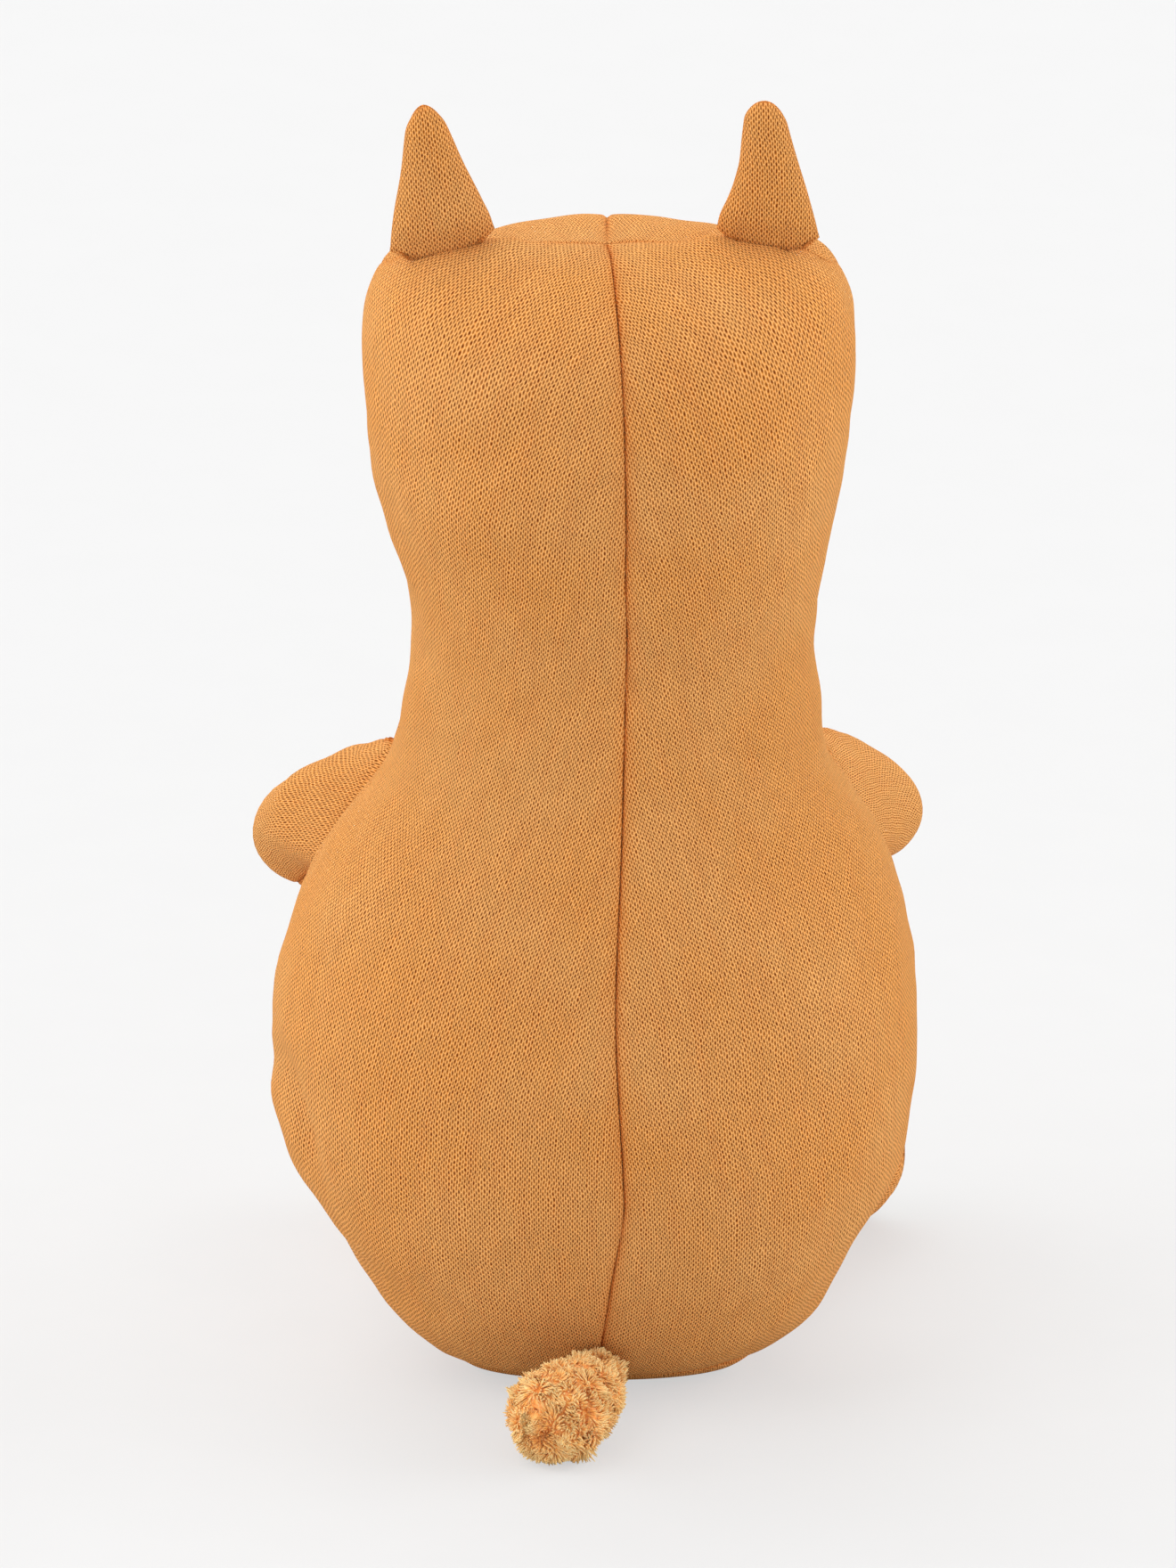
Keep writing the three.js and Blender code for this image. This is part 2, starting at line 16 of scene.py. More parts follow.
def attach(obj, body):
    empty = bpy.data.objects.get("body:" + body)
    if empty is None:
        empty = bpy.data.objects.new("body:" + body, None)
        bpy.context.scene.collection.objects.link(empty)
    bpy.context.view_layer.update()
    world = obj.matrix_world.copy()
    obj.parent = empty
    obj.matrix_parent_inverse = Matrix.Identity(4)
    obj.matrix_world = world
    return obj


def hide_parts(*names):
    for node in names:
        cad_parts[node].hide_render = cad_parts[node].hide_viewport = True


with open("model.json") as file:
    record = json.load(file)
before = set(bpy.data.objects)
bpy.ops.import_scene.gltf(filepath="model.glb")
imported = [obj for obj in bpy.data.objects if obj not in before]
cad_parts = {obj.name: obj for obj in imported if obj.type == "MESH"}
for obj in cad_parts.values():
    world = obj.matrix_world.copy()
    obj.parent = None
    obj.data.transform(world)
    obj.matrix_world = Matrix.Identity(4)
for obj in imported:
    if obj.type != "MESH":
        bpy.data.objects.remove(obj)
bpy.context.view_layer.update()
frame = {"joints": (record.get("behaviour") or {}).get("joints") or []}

MM = 0.001
SEED = 7

# Torso and head. WIDTH, LOW_SHARE and SWAY_X are rounded results of a program that fitted them to
# the photograph's outline, so they lie a few millimetres off the CAD's profile.
HIP_Z = 94.6
TEMPLE_Z = 285.0
CROWN_Z = 326.5
PRESSED = 0.5
SEAT_SQUARE = 2.3
# How much of the hips' width is left on the way down to the seat
LOW_Z = (0.0, 1.0, 2.0, 3.3, 5.5, 8.4, 13.5, 18.6, 28.8, 39.1, 49.3, 59.5, 70.0, 82.0, 94.6)
LOW_SHARE = (
    0.345, 0.405, 0.43, 0.455, 0.495, 0.54, 0.605, 0.657, 0.73, 0.797, 0.87, 0.932, 0.968, 0.993, 1.0
)
CROWN_SQUARE = 4.0
CROWN_ROUND = 2.1
SECTION_SQUARE = 2.2
WIDTH_Z = (
    94.6, 105.0, 116.0, 126.0, 136.2, 147.0, 157.0, 168.0,
    180.0, 193.0, 207.0, 220.0, 233.0, 247.0, 260.0, 285.0,
)
WIDTH = (87.1, 87.2, 86.0, 83.7, 81.0, 76.4, 70.8, 63.4, 58.0, 56.0, 54.2, 55.1, 57.4, 60.8, 63.7, 66.1)
DEPTH_Z = (94.6, 116.0, 136.2, 157.0, 180.0, 207.0, 233.0, 260.0, 285.0)
BACK = (63.0, 60.9, 56.9, 51.0, 44.9, 42.0, 45.0, 49.0, 50.0)
FRONT = (66.0, 65.0, 60.0, 53.0, 45.0, 42.0, 45.0, 49.0, 50.0)

# How far the soft body lies to its left, mostly below 0 because it leans to its right
SWAY_Z = (12.0, 30.0, 60.0, 94.6, 116.0, 136.0, 157.0, 170.0, 182.0, 207.0, 233.0, 260.0, 285.0)
SWAY_X = (-2.2, -1.9, -1.3, 0.3, -0.9, -1.8, -3.6, -4.5, -4.2, -5.2, -4.9, -3.6, -4.0)

# The view from behind looks down by 20 degrees
VIEW_TILT = 20
VIEW_RISE = 0.9397  # cosine of the tilt
VIEW_DEPTH = 0.342  # sine of the tilt
VIEW_SEAT = 4.6  # height of the seat's rear edge in the view

# Seams
CROWN_SEAM_Y = 12.7
THROAT_SEAM_Z = 222.0
SEAT_SEAM_Z = 5.0
CORNER_Z = 318.0  # where the side seam turns into the crown seam
SIDE_LEAN = 0.13  # how far the side seams lie before the widest line from the waist up, as an angle
BACK_SEAM = (  # distance above the seat in the view from behind, and sideways place
    (5.0, -1.4),
    (17.0, -3.1),
    (29.0, -5.0),
    (40.0, -7.2),
    (48.0, -7.9),
    (96.0, -5.6),
    (144.0, -7.2),
    (184.0, -8.2),
    (199.0, -8.6),
    (216.0, -8.2),
    (228.0, -8.4),
    (257.0, -7.9),
    (271.0, -7.9),
    (285.0, -5.8),
    (298.0, -4.4),
    (308.0, -3.4),
)

MUZZLE_MIDDLE = np.array((0.0, -38.0, 256.0))
MUZZLE_HALF = np.array((34.0, 33.0, 26.0))
MUZZLE_HEART = np.array((0.0, -14.0, 256.0))  # a point inside both muzzle and head

# Thickness of the torso's and the limbs' covers, and how far the fillings lie under the forms
KNIT = 1.3
LIMB_KNIT = 1.1
STUFFING_INSET = 6.5
LIMB_STUFFING_INSET = 3.6

rng = np.random.default_rng(SEED)


def smooth_curve(places, values, level=True):
    """A smooth curve through points, level at both ends or running on as it comes."""
    p = np.array(places, float)
    v = np.array(values, float)
    slopes = np.zeros(len(p))
    slopes[1:-1] = (v[2:] - v[:-2]) / (p[2:] - p[:-2])
    if not level:
        slopes[0] = (v[1] - v[0]) / (p[1] - p[0])
        slopes[-1] = (v[-1] - v[-2]) / (p[-1] - p[-2])

    def at(x):
        past = 0 if level else slopes[-1] * np.maximum(x - p[-1], 0)
        x = np.clip(x, p[0], p[-1])
        i = np.clip(np.searchsorted(p, x, side="right") - 1, 0, len(p) - 2)
        w = p[i + 1] - p[i]
        t = (x - p[i]) / w
        return (
            past
            + v[i] * (1 + 2 * t) * (1 - t) ** 2
            + slopes[i] * w * t * (1 - t) ** 2
            + v[i + 1] * t * t * (3 - 2 * t)
            + slopes[i + 1] * w * t * t * (t - 1)
        )

    return at


side_at = smooth_curve(WIDTH_Z, WIDTH)
back_at = smooth_curve(DEPTH_Z, BACK)
front_at = smooth_curve(DEPTH_Z, FRONT)
low_at = smooth_curve(LOW_Z, LOW_SHARE)
sway_at = smooth_curve(SWAY_Z, SWAY_X)
back_seam_at = smooth_curve(*zip(*BACK_SEAM))


def smoothstep(low, high, x):
    t = np.clip((x - low) / (high - low), 0, 1)
    return t * t * (3 - 2 * t)


def closing(share, squareness):
    """What is left of a unit width at a share of the way to a rounded end."""
    share = np.clip(share, 0, 1)
    return np.maximum(0, 1 - share**squareness) ** (1 / squareness)


def on_section(angle):
    """A point's place on the rounded-square section of unit size."""

    def bulge(c):
        return np.sign(c) * np.abs(c) ** (2 / SECTION_SQUARE)

    return bulge(np.cos(angle)), bulge(np.sin(angle))


def lumps(points, size, seed):
    """Soft unevenness between -1 and 1 with features of a size in mm."""
    waves = np.random.default_rng(seed)
    total = np.zeros(points.shape[:-1])
    for _ in range(9):
        heading = waves.normal(size=3)
        heading *= waves.uniform(0.6, 1.5) * 2 * math.pi / size / np.linalg.norm(heading)
        total += np.sin(points @ heading + waves.uniform(0, 2 * math.pi))
    return total / 4


def torso_size(z, inset=0.0):
    low = closing((HIP_Z - z) / (HIP_Z + PRESSED - inset), SEAT_SQUARE)
    rise = (z - TEMPLE_Z) / (CROWN_Z - inset - TEMPLE_Z)
    deep = low * closing(rise, CROWN_ROUND)
    side = low_at(z - inset) * closing(rise, CROWN_SQUARE) * (side_at(z) - inset)
    return side, deep * (back_at(z) - inset), deep * (front_at(z) - inset)


def torso_point(z, angle, inset=0.0):
    """Points of the torso: angle 0 is the toy's left side, 90 degrees its back."""
    side, back, front = torso_size(z, inset)
    across, deep = on_section(angle)
    return np.stack([side * across, deep * np.where(deep > 0, back, front), z + 0 * angle], -1)


def section_angle(z, x, behind):
    """The angle at which a level section reaches a sideways place."""
    side = torso_size(z)[0]
    share = np.clip(np.abs(x) / side, 0, 1) ** (SECTION_SQUARE / 2)
    angle = np.arccos(np.sign(x) * share)
    return angle if behind else 2 * math.pi - angle


def fullness(points):
    """Below 1 inside the torso and above 1 outside it."""
    side, back, front = torso_size(points[..., 2])
    deep = np.where(points[..., 1] > 0, back, front)
    across = np.abs(points[..., 0]) / np.maximum(side, 1e-6)
    along = np.abs(points[..., 1]) / np.maximum(deep, 1e-6)
    return across**SECTION_SQUARE + along**SECTION_SQUARE


def torso_outward(points):
    """Outward directions of the torso's form at points on it."""
    sides = []
    for axis in np.eye(3) * 0.05:
        sides.append(fullness(points + axis) - fullness(points - axis))
    slope = np.stack(sides, -1)
    return slope / np.maximum(np.linalg.norm(slope, axis=-1, keepdims=True), 1e-9)


def cast(origin, toward):
    """Where rays from inside the head leave it."""
    heading = toward - origin
    heading = heading / np.linalg.norm(heading, axis=-1, keepdims=True)
    low = np.zeros(heading.shape[:-1])
    high = np.full(heading.shape[:-1], 120.0)
    for _ in range(32):
        middle = (low + high) / 2
        inside = fullness(origin + heading * middle[..., None]) < 1
        low = np.where(inside, middle, low)
        high = np.where(inside, high, middle)
    return origin + heading * low[..., None]


def crown_seam(x):
    """Points of the crown seam at sideways places: the seam leans back as it nears the crown."""
    x = np.asarray(x, float)
    low = np.full(x.shape, TEMPLE_Z)
    high = np.full(x.shape, CROWN_Z)
    for _ in range(40):
        z = (low + high) / 2
        inside = fullness(np.stack([x, crown_lean(z), z], -1)) < 1
        low = np.where(inside, z, low)
        high = np.where(inside, high, z)
    return np.stack([x, crown_lean(low), low], -1)


def crown_lean(z):
    rise = np.clip((z - TEMPLE_Z) / (CROWN_Z - TEMPLE_Z), 0, 1)
    return CROWN_SEAM_Y * (1 - np.sqrt(1 - rise)) ** 2


def normals_of(grid):
    """Normals of a grid of points."""
    along = np.gradient(grid, axis=0)
    across = np.gradient(grid, axis=1)
    normal = np.cross(across, along)
    return normal / np.maximum(np.linalg.norm(normal, axis=-1, keepdims=True), 1e-9)


def shares(length, step=2.4):
    """Places from 0 to 1 along a length, closer together near both ends."""
    near = np.array((0.0, 0.4, 0.9, 1.5, 2.3, 3.3, 4.6))
    middle = np.linspace(near[-1], length - near[-1], max(3, int(length / step)))
    return np.concatenate([near[:-1], middle, (length - near[:-1])[::-1]]) / length


def from_edge(points, edge):
    """Distance of each point from the nearest point of an edge."""
    flat = points.reshape(-1, 3)
    nearest = np.full(len(flat), 1e9)
    for start in range(0, len(edge), 64):
        part = edge[start : start + 64]
        gap = ((flat[:, None, :] - part[None]) ** 2).sum(-1).min(1)
        nearest = np.minimum(nearest, gap)
    return np.sqrt(nearest).reshape(points.shape[:-1])


def thick_line(line, step=0.7):
    """A polyline with points close together."""
    gaps = np.linalg.norm(np.diff(line, axis=0), axis=1)
    place = np.concatenate([[0], np.cumsum(gaps)])
    even = np.linspace(0, place[-1], max(2, int(place[-1] / step)))
    return np.stack([np.interp(even, place, line[:, k]) for k in range(3)], -1)


def grid_faces(rows, columns):
    index = np.arange(rows * columns).reshape(rows, columns)
    low, high = index[:-1], index[1:]
    return np.stack([low[:, :-1], low[:, 1:], high[:, 1:], high[:, :-1]], -1).reshape(-1, 4)


def new_thing(name, points, faces, material=None, cloth=None):
    """A smooth mesh in the scene, from points in mm. Cloth gives each point's place on the cloth."""
    mesh = bpy.data.meshes.new(name)
    mesh.from_pydata((np.asarray(points) * MM).tolist(), [], [tuple(face) for face in faces])
    if cloth is not None:
        corner = np.zeros(len(mesh.loops), np.int32)
        mesh.loops.foreach_get("vertex_index", corner)
        layer = mesh.uv_layers.new(name="cloth")
        layer.data.foreach_set("uv", np.asarray(cloth, np.float32)[corner].ravel())
    mesh.shade_smooth()
    if material is not None:
        mesh.materials.append(material)
    thing = bpy.data.objects.new(name, mesh)
    bpy.context.scene.collection.objects.link(thing)
    return thing


def belongs(thing, body, node):
    """Says which body a piece rides on and which CAD node it stands for."""
    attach(thing, body)
    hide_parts(node)


def add_mesh(name, points, faces, cloth=None, material=None, crease=None):
    """A smooth, closed mesh with outward normals. Points that coincide become one."""
    thing = new_thing(name, points, faces, material, cloth)
    mesh = thing.data
    # The crease attribute holds painted shade for the seams' creases.
    if crease is not None:
        layer = mesh.attributes.new("crease", "FLOAT", "POINT")
        layer.data.foreach_set("value", np.asarray(crease, np.float32))
    shape = bmesh.new()
    shape.from_mesh(mesh)
    bmesh.ops.remove_doubles(shape, verts=shape.verts, dist=1e-7)
    bmesh.ops.recalc_face_normals(shape, faces=shape.faces)
    shape.to_mesh(mesh)
    shape.free()
    mesh.shade_smooth()
    return thing


def lay_flat(grid, low, high):
    """Lays a patch flat as it was cut: each point's place on the cloth in mm, with the line from
    one grid point to another upright."""
    rows, columns = grid.shape[:2]
    thing = new_thing("flat", grid.reshape(-1, 3), grid_faces(rows, columns))
    mesh = thing.data
    bpy.context.view_layer.objects.active = thing
    thing.select_set(True)
    bpy.ops.object.mode_set(mode="EDIT")
    bpy.ops.mesh.select_all(action="SELECT")
    bpy.ops.uv.unwrap(method="CONFORMAL", margin=0.0)
    bpy.ops.object.mode_set(mode="OBJECT")
    corner = np.zeros(len(mesh.loops), np.int32)
    mesh.loops.foreach_get("vertex_index", corner)
    place = np.zeros(2 * len(mesh.loops), np.float32)
    mesh.uv_layers.active.data.foreach_get("uv", place)
    flat = np.zeros((rows * columns, 2))
    flat[corner] = place.reshape(-1, 2)
    flat = flat.reshape(rows, columns, 2)
    bpy.data.objects.remove(thing)
    bpy.data.meshes.remove(mesh)
    real = np.linalg.norm(np.diff(grid, axis=1), axis=-1).sum()
    drawn = np.linalg.norm(np.diff(flat, axis=1), axis=-1).sum()
    real += np.linalg.norm(np.diff(grid, axis=0), axis=-1).sum()
    drawn += np.linalg.norm(np.diff(flat, axis=0), axis=-1).sum()
    flat = (flat - flat[low]) * (real / drawn)
    turn = math.pi / 2 - math.atan2(*(flat[high] - flat[low])[::-1])
    return turned(flat, turn)


def turned(flat, turn):
    c, s = math.cos(turn), math.sin(turn)
    return np.stack([flat[..., 0] * c - flat[..., 1] * s, flat[..., 0] * s + flat[..., 1] * c], -1)


def sew(grid, outward, depth=1.9, reach=1.7, pull=0.8, edges=None, held=1.0):
    """Rolls a patch's edges in, as at a seam, and pulls the cloth near them in a little, in full
    or to a held share. The second result is 1 in the seam's crease and 0 away from it: a mask of
    painted shade for the knit's colour."""
    if edges is None:
        edges = [grid[0], grid[-1], grid[:, 0], grid[:, -1]]
    edge = np.concatenate([thick_line(line) for line in edges])
    away = from_edge(grid, edge)
    roll = depth * (1 - np.sqrt(np.maximum(0, 1 - (1 - np.minimum(away / reach, 1)) ** 2)))
    sewn = grid - outward * (held * (roll + pull * np.exp(-((away / 4.5) ** 2))))[..., None]
    crease = 0.55 * np.exp(-((away / 0.6) ** 2)) + 0.3 * np.exp(-((away / 2.4) ** 2))
    return sewn, np.minimum(1, held) * crease


def shell(name, patches, material, thickness=KNIT):
    """Closes sewn patches into cloth of a thickness, as one piece. A patch is its grid of points,
    its outward directions, its places on the cloth and its creases, which carry painted shade."""
    points, faces, cloth, creases = [], [], [], []
    start = 0
    for grid, outward, flat, crease in patches:
        rows, columns = grid.shape[:2]
        count = rows * columns
        points += [grid.reshape(-1, 3), (grid - outward * thickness).reshape(-1, 3)]
        cloth += [flat.reshape(-1, 2)] * 2
        creases += [crease.ravel()] * 2
        quads = grid_faces(rows, columns)
        index = np.arange(count).reshape(rows, columns)
        rim = np.concatenate([index[0, :-1], index[:-1, -1], index[-1, :0:-1], index[:0:-1, 0]])
        after = np.roll(rim, -1)
        sides = np.stack([rim, after, after + count, rim + count], -1)
        faces += [quads + start, quads[:, ::-1] + count + start, sides + start]
        start += 2 * count
    joined = [np.concatenate(part) for part in (points, faces, cloth)]
    return add_mesh(name, *joined, material, np.concatenate(creases))


# Materials


class Nodes:
    """The node tree of a material or of the world, with short calls for its nodes."""

    def __init__(self, owner):
        if isinstance(owner, str):
            owner = bpy.data.materials.new(owner)
        owner.use_nodes = True
        self.owner = owner
        self.tree = owner.node_tree
        self.shader = self.tree.nodes.get("Principled BSDF")

    def add(self, kind, inputs=(), **settings):
        node = self.tree.nodes.new("ShaderNode" + kind)
        for key, value in settings.items():
            setattr(node, key, value)
        for key, value in dict(inputs).items():
            self.feed(node.inputs[key], value)
        return node

    def feed(self, socket, value):
        if isinstance(value, bpy.types.NodeSocket):
            self.tree.links.new(value, socket)
        else:
            socket.default_value = value

    def math(self, operation, *values):
        return self.add("Math", enumerate(values), operation=operation).outputs[0]

    def vector(self, operation, value, other):
        second = "Scale" if operation == "SCALE" else 1
        return self.add("VectorMath", {0: value, second: other}, operation=operation).outputs[0]

    def remap(self, value, low, high, to_low=0.0, to_high=1.0):
        node = self.add(
            "MapRange",
            {"Value": value, "From Min": low, "From Max": high, "To Min": to_low, "To Max": to_high},
            interpolation_type="SMOOTHSTEP",
        )
        return node.outputs["Result"]

    def mix(self, share, a, b):
        return self.add("Mix", {0: share, 6: a, 7: b}, data_type="RGBA").outputs[2]

    def noise(self, scale, detail=2.0, vector=None, **inputs):
        inputs = {key.capitalize(): value for key, value in inputs.items()}
        inputs.update({"Scale": scale, "Detail": detail})
        if vector is not None:
            inputs["Vector"] = vector
        return self.add("TexNoise", inputs).outputs

    def finish(self, colour, roughness, **sockets):
        self.feed(self.shader.inputs["Base Color"], colour)
        self.feed(self.shader.inputs["Roughness"], roughness)
        for key, value in sockets.items():
            self.shader.inputs[key.replace("_", " ")].default_value = value
        return self.owner

    def bump(self, height, distance, strength):
        node = self.add("Bump", {"Height": height, "Distance": distance, "Strength": strength})
        self.feed(self.shader.inputs["Normal"], node.outputs["Normal"])

    def split(self, value):
        return self.add("SeparateXYZ", {0: value}).outputs

    def cloth(self):
        """Each point's place on the cloth, in mm."""
        return self.add("UVMap", uv_map="cloth").outputs["UV"]

    def spot(self):
        """Each point's place on the piece, in metres."""
        return self.add("TexCoord").outputs["Object"]


def srgb(red, green, blue):
    """A colour from its screen values of 0 to 255."""

    def linear(c):
        c /= 255
        return c / 12.92 if c <= 0.04045 else ((c + 0.055) / 1.055) ** 2.4

    return (linear(red), linear(green), linear(blue), 1.0)


def knit_material(name, strand, pale, deep, gap, wale=1.33, course=1.62, open_share=1.0):
    """Fine knit: strands net round a staggered lattice of small lens-shaped openings."""
    n = Nodes(name)
    place = n.cloth()
    moved = place
    for scale, detail, reach in ((0.16, 2.0, 1.6), (0.9, 1.0, 0.2)):
        wobble = n.vector("SUBTRACT", n.noise(scale, detail, place)["Color"], (0.5, 0.5, 0.5))
        moved = n.vector("ADD", moved, n.vector("SCALE", wobble, reach))
    apart = n.split(moved)
    across = n.math("MULTIPLY", apart[0], 2 / wale)
    column = n.math("ROUND", across)
    a = n.math("SUBTRACT", across, column)
    odd = n.math("PINGPONG", column, 1.0)
    up = n.math("ADD", n.math("MULTIPLY", apart[1], 1 / course), n.math("MULTIPLY", odd, 0.5))
    b = n.math("SUBTRACT", n.math("FRACT", up), 0.5)
    cell = n.add("CombineXYZ", {0: column, 1: n.math("FLOOR", up)})
    chance = n.add("TexWhiteNoise", {"Vector": cell.outputs[0]}, noise_dimensions="3D").outputs[0]
    width = n.math("DIVIDE", a, n.remap(odd, 0.0, 1.0, 0.28, 0.33))
    height = n.math("DIVIDE", b, 0.37)
    squares = n.math("ADD", n.math("MULTIPLY", width, width), n.math("MULTIPLY", height, height))
    r = n.math("SQRT", squares)
    opening = n.math("SUBTRACT", 1.0, n.remap(r, 0.45, 1.25))
    dark = n.math("MULTIPLY", opening, n.remap(chance, 0.0, 1.0, 0.75 * open_share, open_share))
    dark = n.math("MULTIPLY", dark, n.remap(odd, 0.0, 1.0, 0.84, 1.0))
    fibre = n.noise(7.0, 3.0, moved, roughness=0.7)["Fac"]
    cloud = n.noise(26.0, 3.0, n.spot())["Fac"]
    band = n.noise(1.0, 3.0, n.vector("MULTIPLY", place, (0.3, 0.05, 1.0)))["Fac"]
    body = n.mix(n.remap(cloud, 0.3, 0.7, 0.0, 0.35), strand, pale)
    body = n.mix(n.remap(band, 0.4, 0.7, 0.0, 0.3), body, deep)
    body = n.mix(n.remap(fibre, 0.35, 0.75, 0.0, 0.4), body, pale)
    # Painted highlight: the strands' crests between the openings turn pale.
    crest = n.math("MULTIPLY", n.remap(r, 1.1, 1.8), n.remap(odd, 0.0, 1.0, 0.9, 0.7))
    body = n.mix(crest, body, pale)
    colour = n.mix(dark, body, gap)
    # Painted shade: the colour darkens towards the deep and gap colours in the seams' creases, as the crease
    # attribute gives.
    crease = n.add("Attribute", attribute_name="crease", attribute_type="GEOMETRY").outputs["Fac"]
    colour = n.mix(crease, colour, n.mix(n.remap(crease, 0.3, 1.0, 0.0, 0.6), deep, gap))
    n.bump(n.math("ADD", n.remap(r, 0.3, 1.7), n.math("MULTIPLY", fibre, 0.35)), 0.0005, 0.9)
    return n.finish(
        colour,
        0.92,
        Sheen_Weight=0.4,
        Sheen_Roughness=0.35,
        Sheen_Tint=srgb(255, 196, 120),
        Specular_IOR_Level=0.1,
    )


def pile_material():
    n = Nodes("long_pile")
    place = n.split(n.cloth())
    tone = n.add("ValToRGB", {0: place[1]})
    ramp = tone.color_ramp
    ramp.elements[0].color = srgb(238, 150, 64)
    ramp.elements[1].color = srgb(255, 228, 160)
    ramp.elements[1].position = 0.95
    middle = ramp.elements.new(0.42)
    middle.color = srgb(255, 190, 98)
    shade = n.mix(n.math("MULTIPLY", place[0], 0.3), tone.outputs[0], srgb(250, 156, 70))
    fleck = n.noise(900.0, 2.0, n.spot())["Fac"]
    shade = n.mix(n.remap(fleck, 0.35, 0.7, 0.0, 0.3), shade, srgb(252, 222, 168))
    n.bump(fleck, 0.0001, 0.4)
    return n.finish(shade, 0.85, Sheen_Weight=0.3, Sheen_Tint=srgb(255, 226, 180))


def filling_material():
    n = Nodes("fibre_filling")
    spot = n.spot()
    clump = n.noise(120.0, 5.0, spot, roughness=0.7, distortion=1.2)["Fac"]
    strand = n.noise(900.0, 3.0, spot)["Fac"]
    colour = n.mix(n.remap(clump, 0.3, 0.7), srgb(226, 223, 214), srgb(250, 249, 245))
    n.bump(n.math("ADD", clump, n.math("MULTIPLY", strand, 0.3)), 0.0016, 0.9)
    return n.finish(colour, 0.95, Sheen_Weight=0.2)


def sacking_material():
    n = Nodes("plain_sacking")
    spot = n.split(n.spot())
    warp = n.math("SINE", n.math("MULTIPLY", spot[0], 6000.0))
    weft = n.math("SINE", n.math("MULTIPLY", spot[1], 6000.0))
    weave = n.math("MULTIPLY", warp, weft)
    worn = n.noise(90.0, 4.0, n.spot())["Fac"]
    colour = n.mix(n.remap(weave, -1.0, 1.0), srgb(206, 198, 180), srgb(232, 227, 214))
    colour = n.mix(n.remap(worn, 0.4, 0.7, 0.0, 0.4), colour, srgb(190, 180, 160))
    n.bump(weave, 0.0002, 0.8)
    return n.finish(colour, 0.9)


def eye_material():
    n = Nodes("eye_gloss")
    spot = n.spot()
    swirl = n.noise(160.0, 3.0, spot)["Fac"]
    colour = n.mix(n.remap(swirl, 0.3, 0.7), srgb(18, 13, 10), srgb(46, 29, 18))
    scratch = n.noise(1400.0, 2.0, spot)["Fac"]
    return n.finish(colour, n.remap(scratch, 0.3, 0.8, 0.06, 0.16), Coat_Weight=0.6, Coat_Roughness=0.04)


def washer_material():
    n = Nodes("washer_nylon")
    grain = n.noise(1500.0, 3.0, n.spot())["Fac"]
    colour = n.mix(n.remap(grain, 0.3, 0.7), srgb(222, 222, 216), srgb(238, 238, 234))
    n.bump(grain, 0.00005, 0.5)
    return n.finish(colour, n.remap(grain, 0.2, 0.8, 0.4, 0.6))


def thread_material():
    n = Nodes("embroidery_thread")
    place = n.split(n.cloth())
    slant = n.math("ADD", n.math("MULTIPLY", place[1], 9.0), n.math("MULTIPLY", place[0], 6.0))
    twist = n.math("SINE", slant)
    colour = n.mix(n.remap(twist, -1.0, 1.0), srgb(44, 27, 18), srgb(88, 56, 38))
    n.bump(twist, 0.00012, 0.7)
    return n.finish(colour, 0.55, Sheen_Weight=0.2)


# Strand, pale, deep and gap colour of each knit
MUSTARD = ((246, 151, 52), (255, 196, 126), (234, 123, 36), (112, 42, 0))
# The legs' colours are the body's knit made a little darker, as painted shade.
MUSTARD_LEGS_SHADED = ((238, 146, 54), (254, 188, 116), (224, 118, 36), (134, 58, 0))
CREAM = ((232, 214, 182), (246, 234, 210), (214, 192, 156), (160, 132, 92))
knit = knit_material("mustard_knit", *[srgb(*c) for c in MUSTARD])
# The legs' knit: coarser than the body's, and a little darker as painted shade.
knit_coarse_shaded = knit_material("mustard_knit_coarse", *[srgb(*c) for c in MUSTARD_LEGS_SHADED], 1.7, 2.0)
lining_knit = knit_material("cream_knit", *[srgb(*c) for c in CREAM], open_share=0.7)
pile = pile_material()
filling = filling_material()
sacking = sacking_material()
gloss = eye_material()
nylon = washer_material()
thread = thread_material()

# The ends of the hollow above the left hip, sideways and as height above the seat in the view
HOLLOW = np.array(((84.2, 86.0), (75.5, 57.0)))

# Torso panels


def swayed(points):
    """Leans the body, lifts the crown on its right and pulls it up at the ears' inner ends."""
    moved = points.copy()
    x, y, z = moved[..., 0], moved[..., 1], moved[..., 2]
    lift = 0.015 * (np.sqrt(x * x + 100) - x) * smoothstep(265, 318, z) * (1 - smoothstep(40, 56, -x))
    pulled = np.exp(-(((np.abs(x) - 27) / 5) ** 2) - ((y - 11) / 7) ** 2) * smoothstep(312, 322, z)
    moved[..., 0] += sway_at(z)
    moved[..., 2] += lift + 1.6 * pulled
    return moved


def view_height(points):
    """Distance above the seat in the view from behind."""
    return VIEW_RISE * points[..., 2] - VIEW_DEPTH * points[..., 1] + VIEW_SEAT


def seam_angle(z):
    """Where the centre-back seam crosses each level of the back."""
    angle = np.full(np.shape(z), math.pi / 2)
    for _ in range(4):
        height = view_height(torso_point(z, angle))
        angle = section_angle(z, back_seam_at(height) - sway_at(z), True)
    return angle


def side_lean(z):
    return SIDE_LEAN * smoothstep(90, 130, z)


TEMPLE_MIDDLE = np.array((0.0, 0.0, TEMPLE_Z))
corner_x = np.arange(30, 70, 0.25)
corner_points = np.array([[x, crown_lean(CORNER_Z), CORNER_Z] for x in corner_x])
crown_corner_x = float(np.interp(0, fullness(corner_points) - 1, corner_x))


def crown_x(s, side, middle_x):
    """Sideways places along the crown seam from its corner to its middle."""
    corner = crown_corner_x * side
    return corner + (middle_x - corner) * s


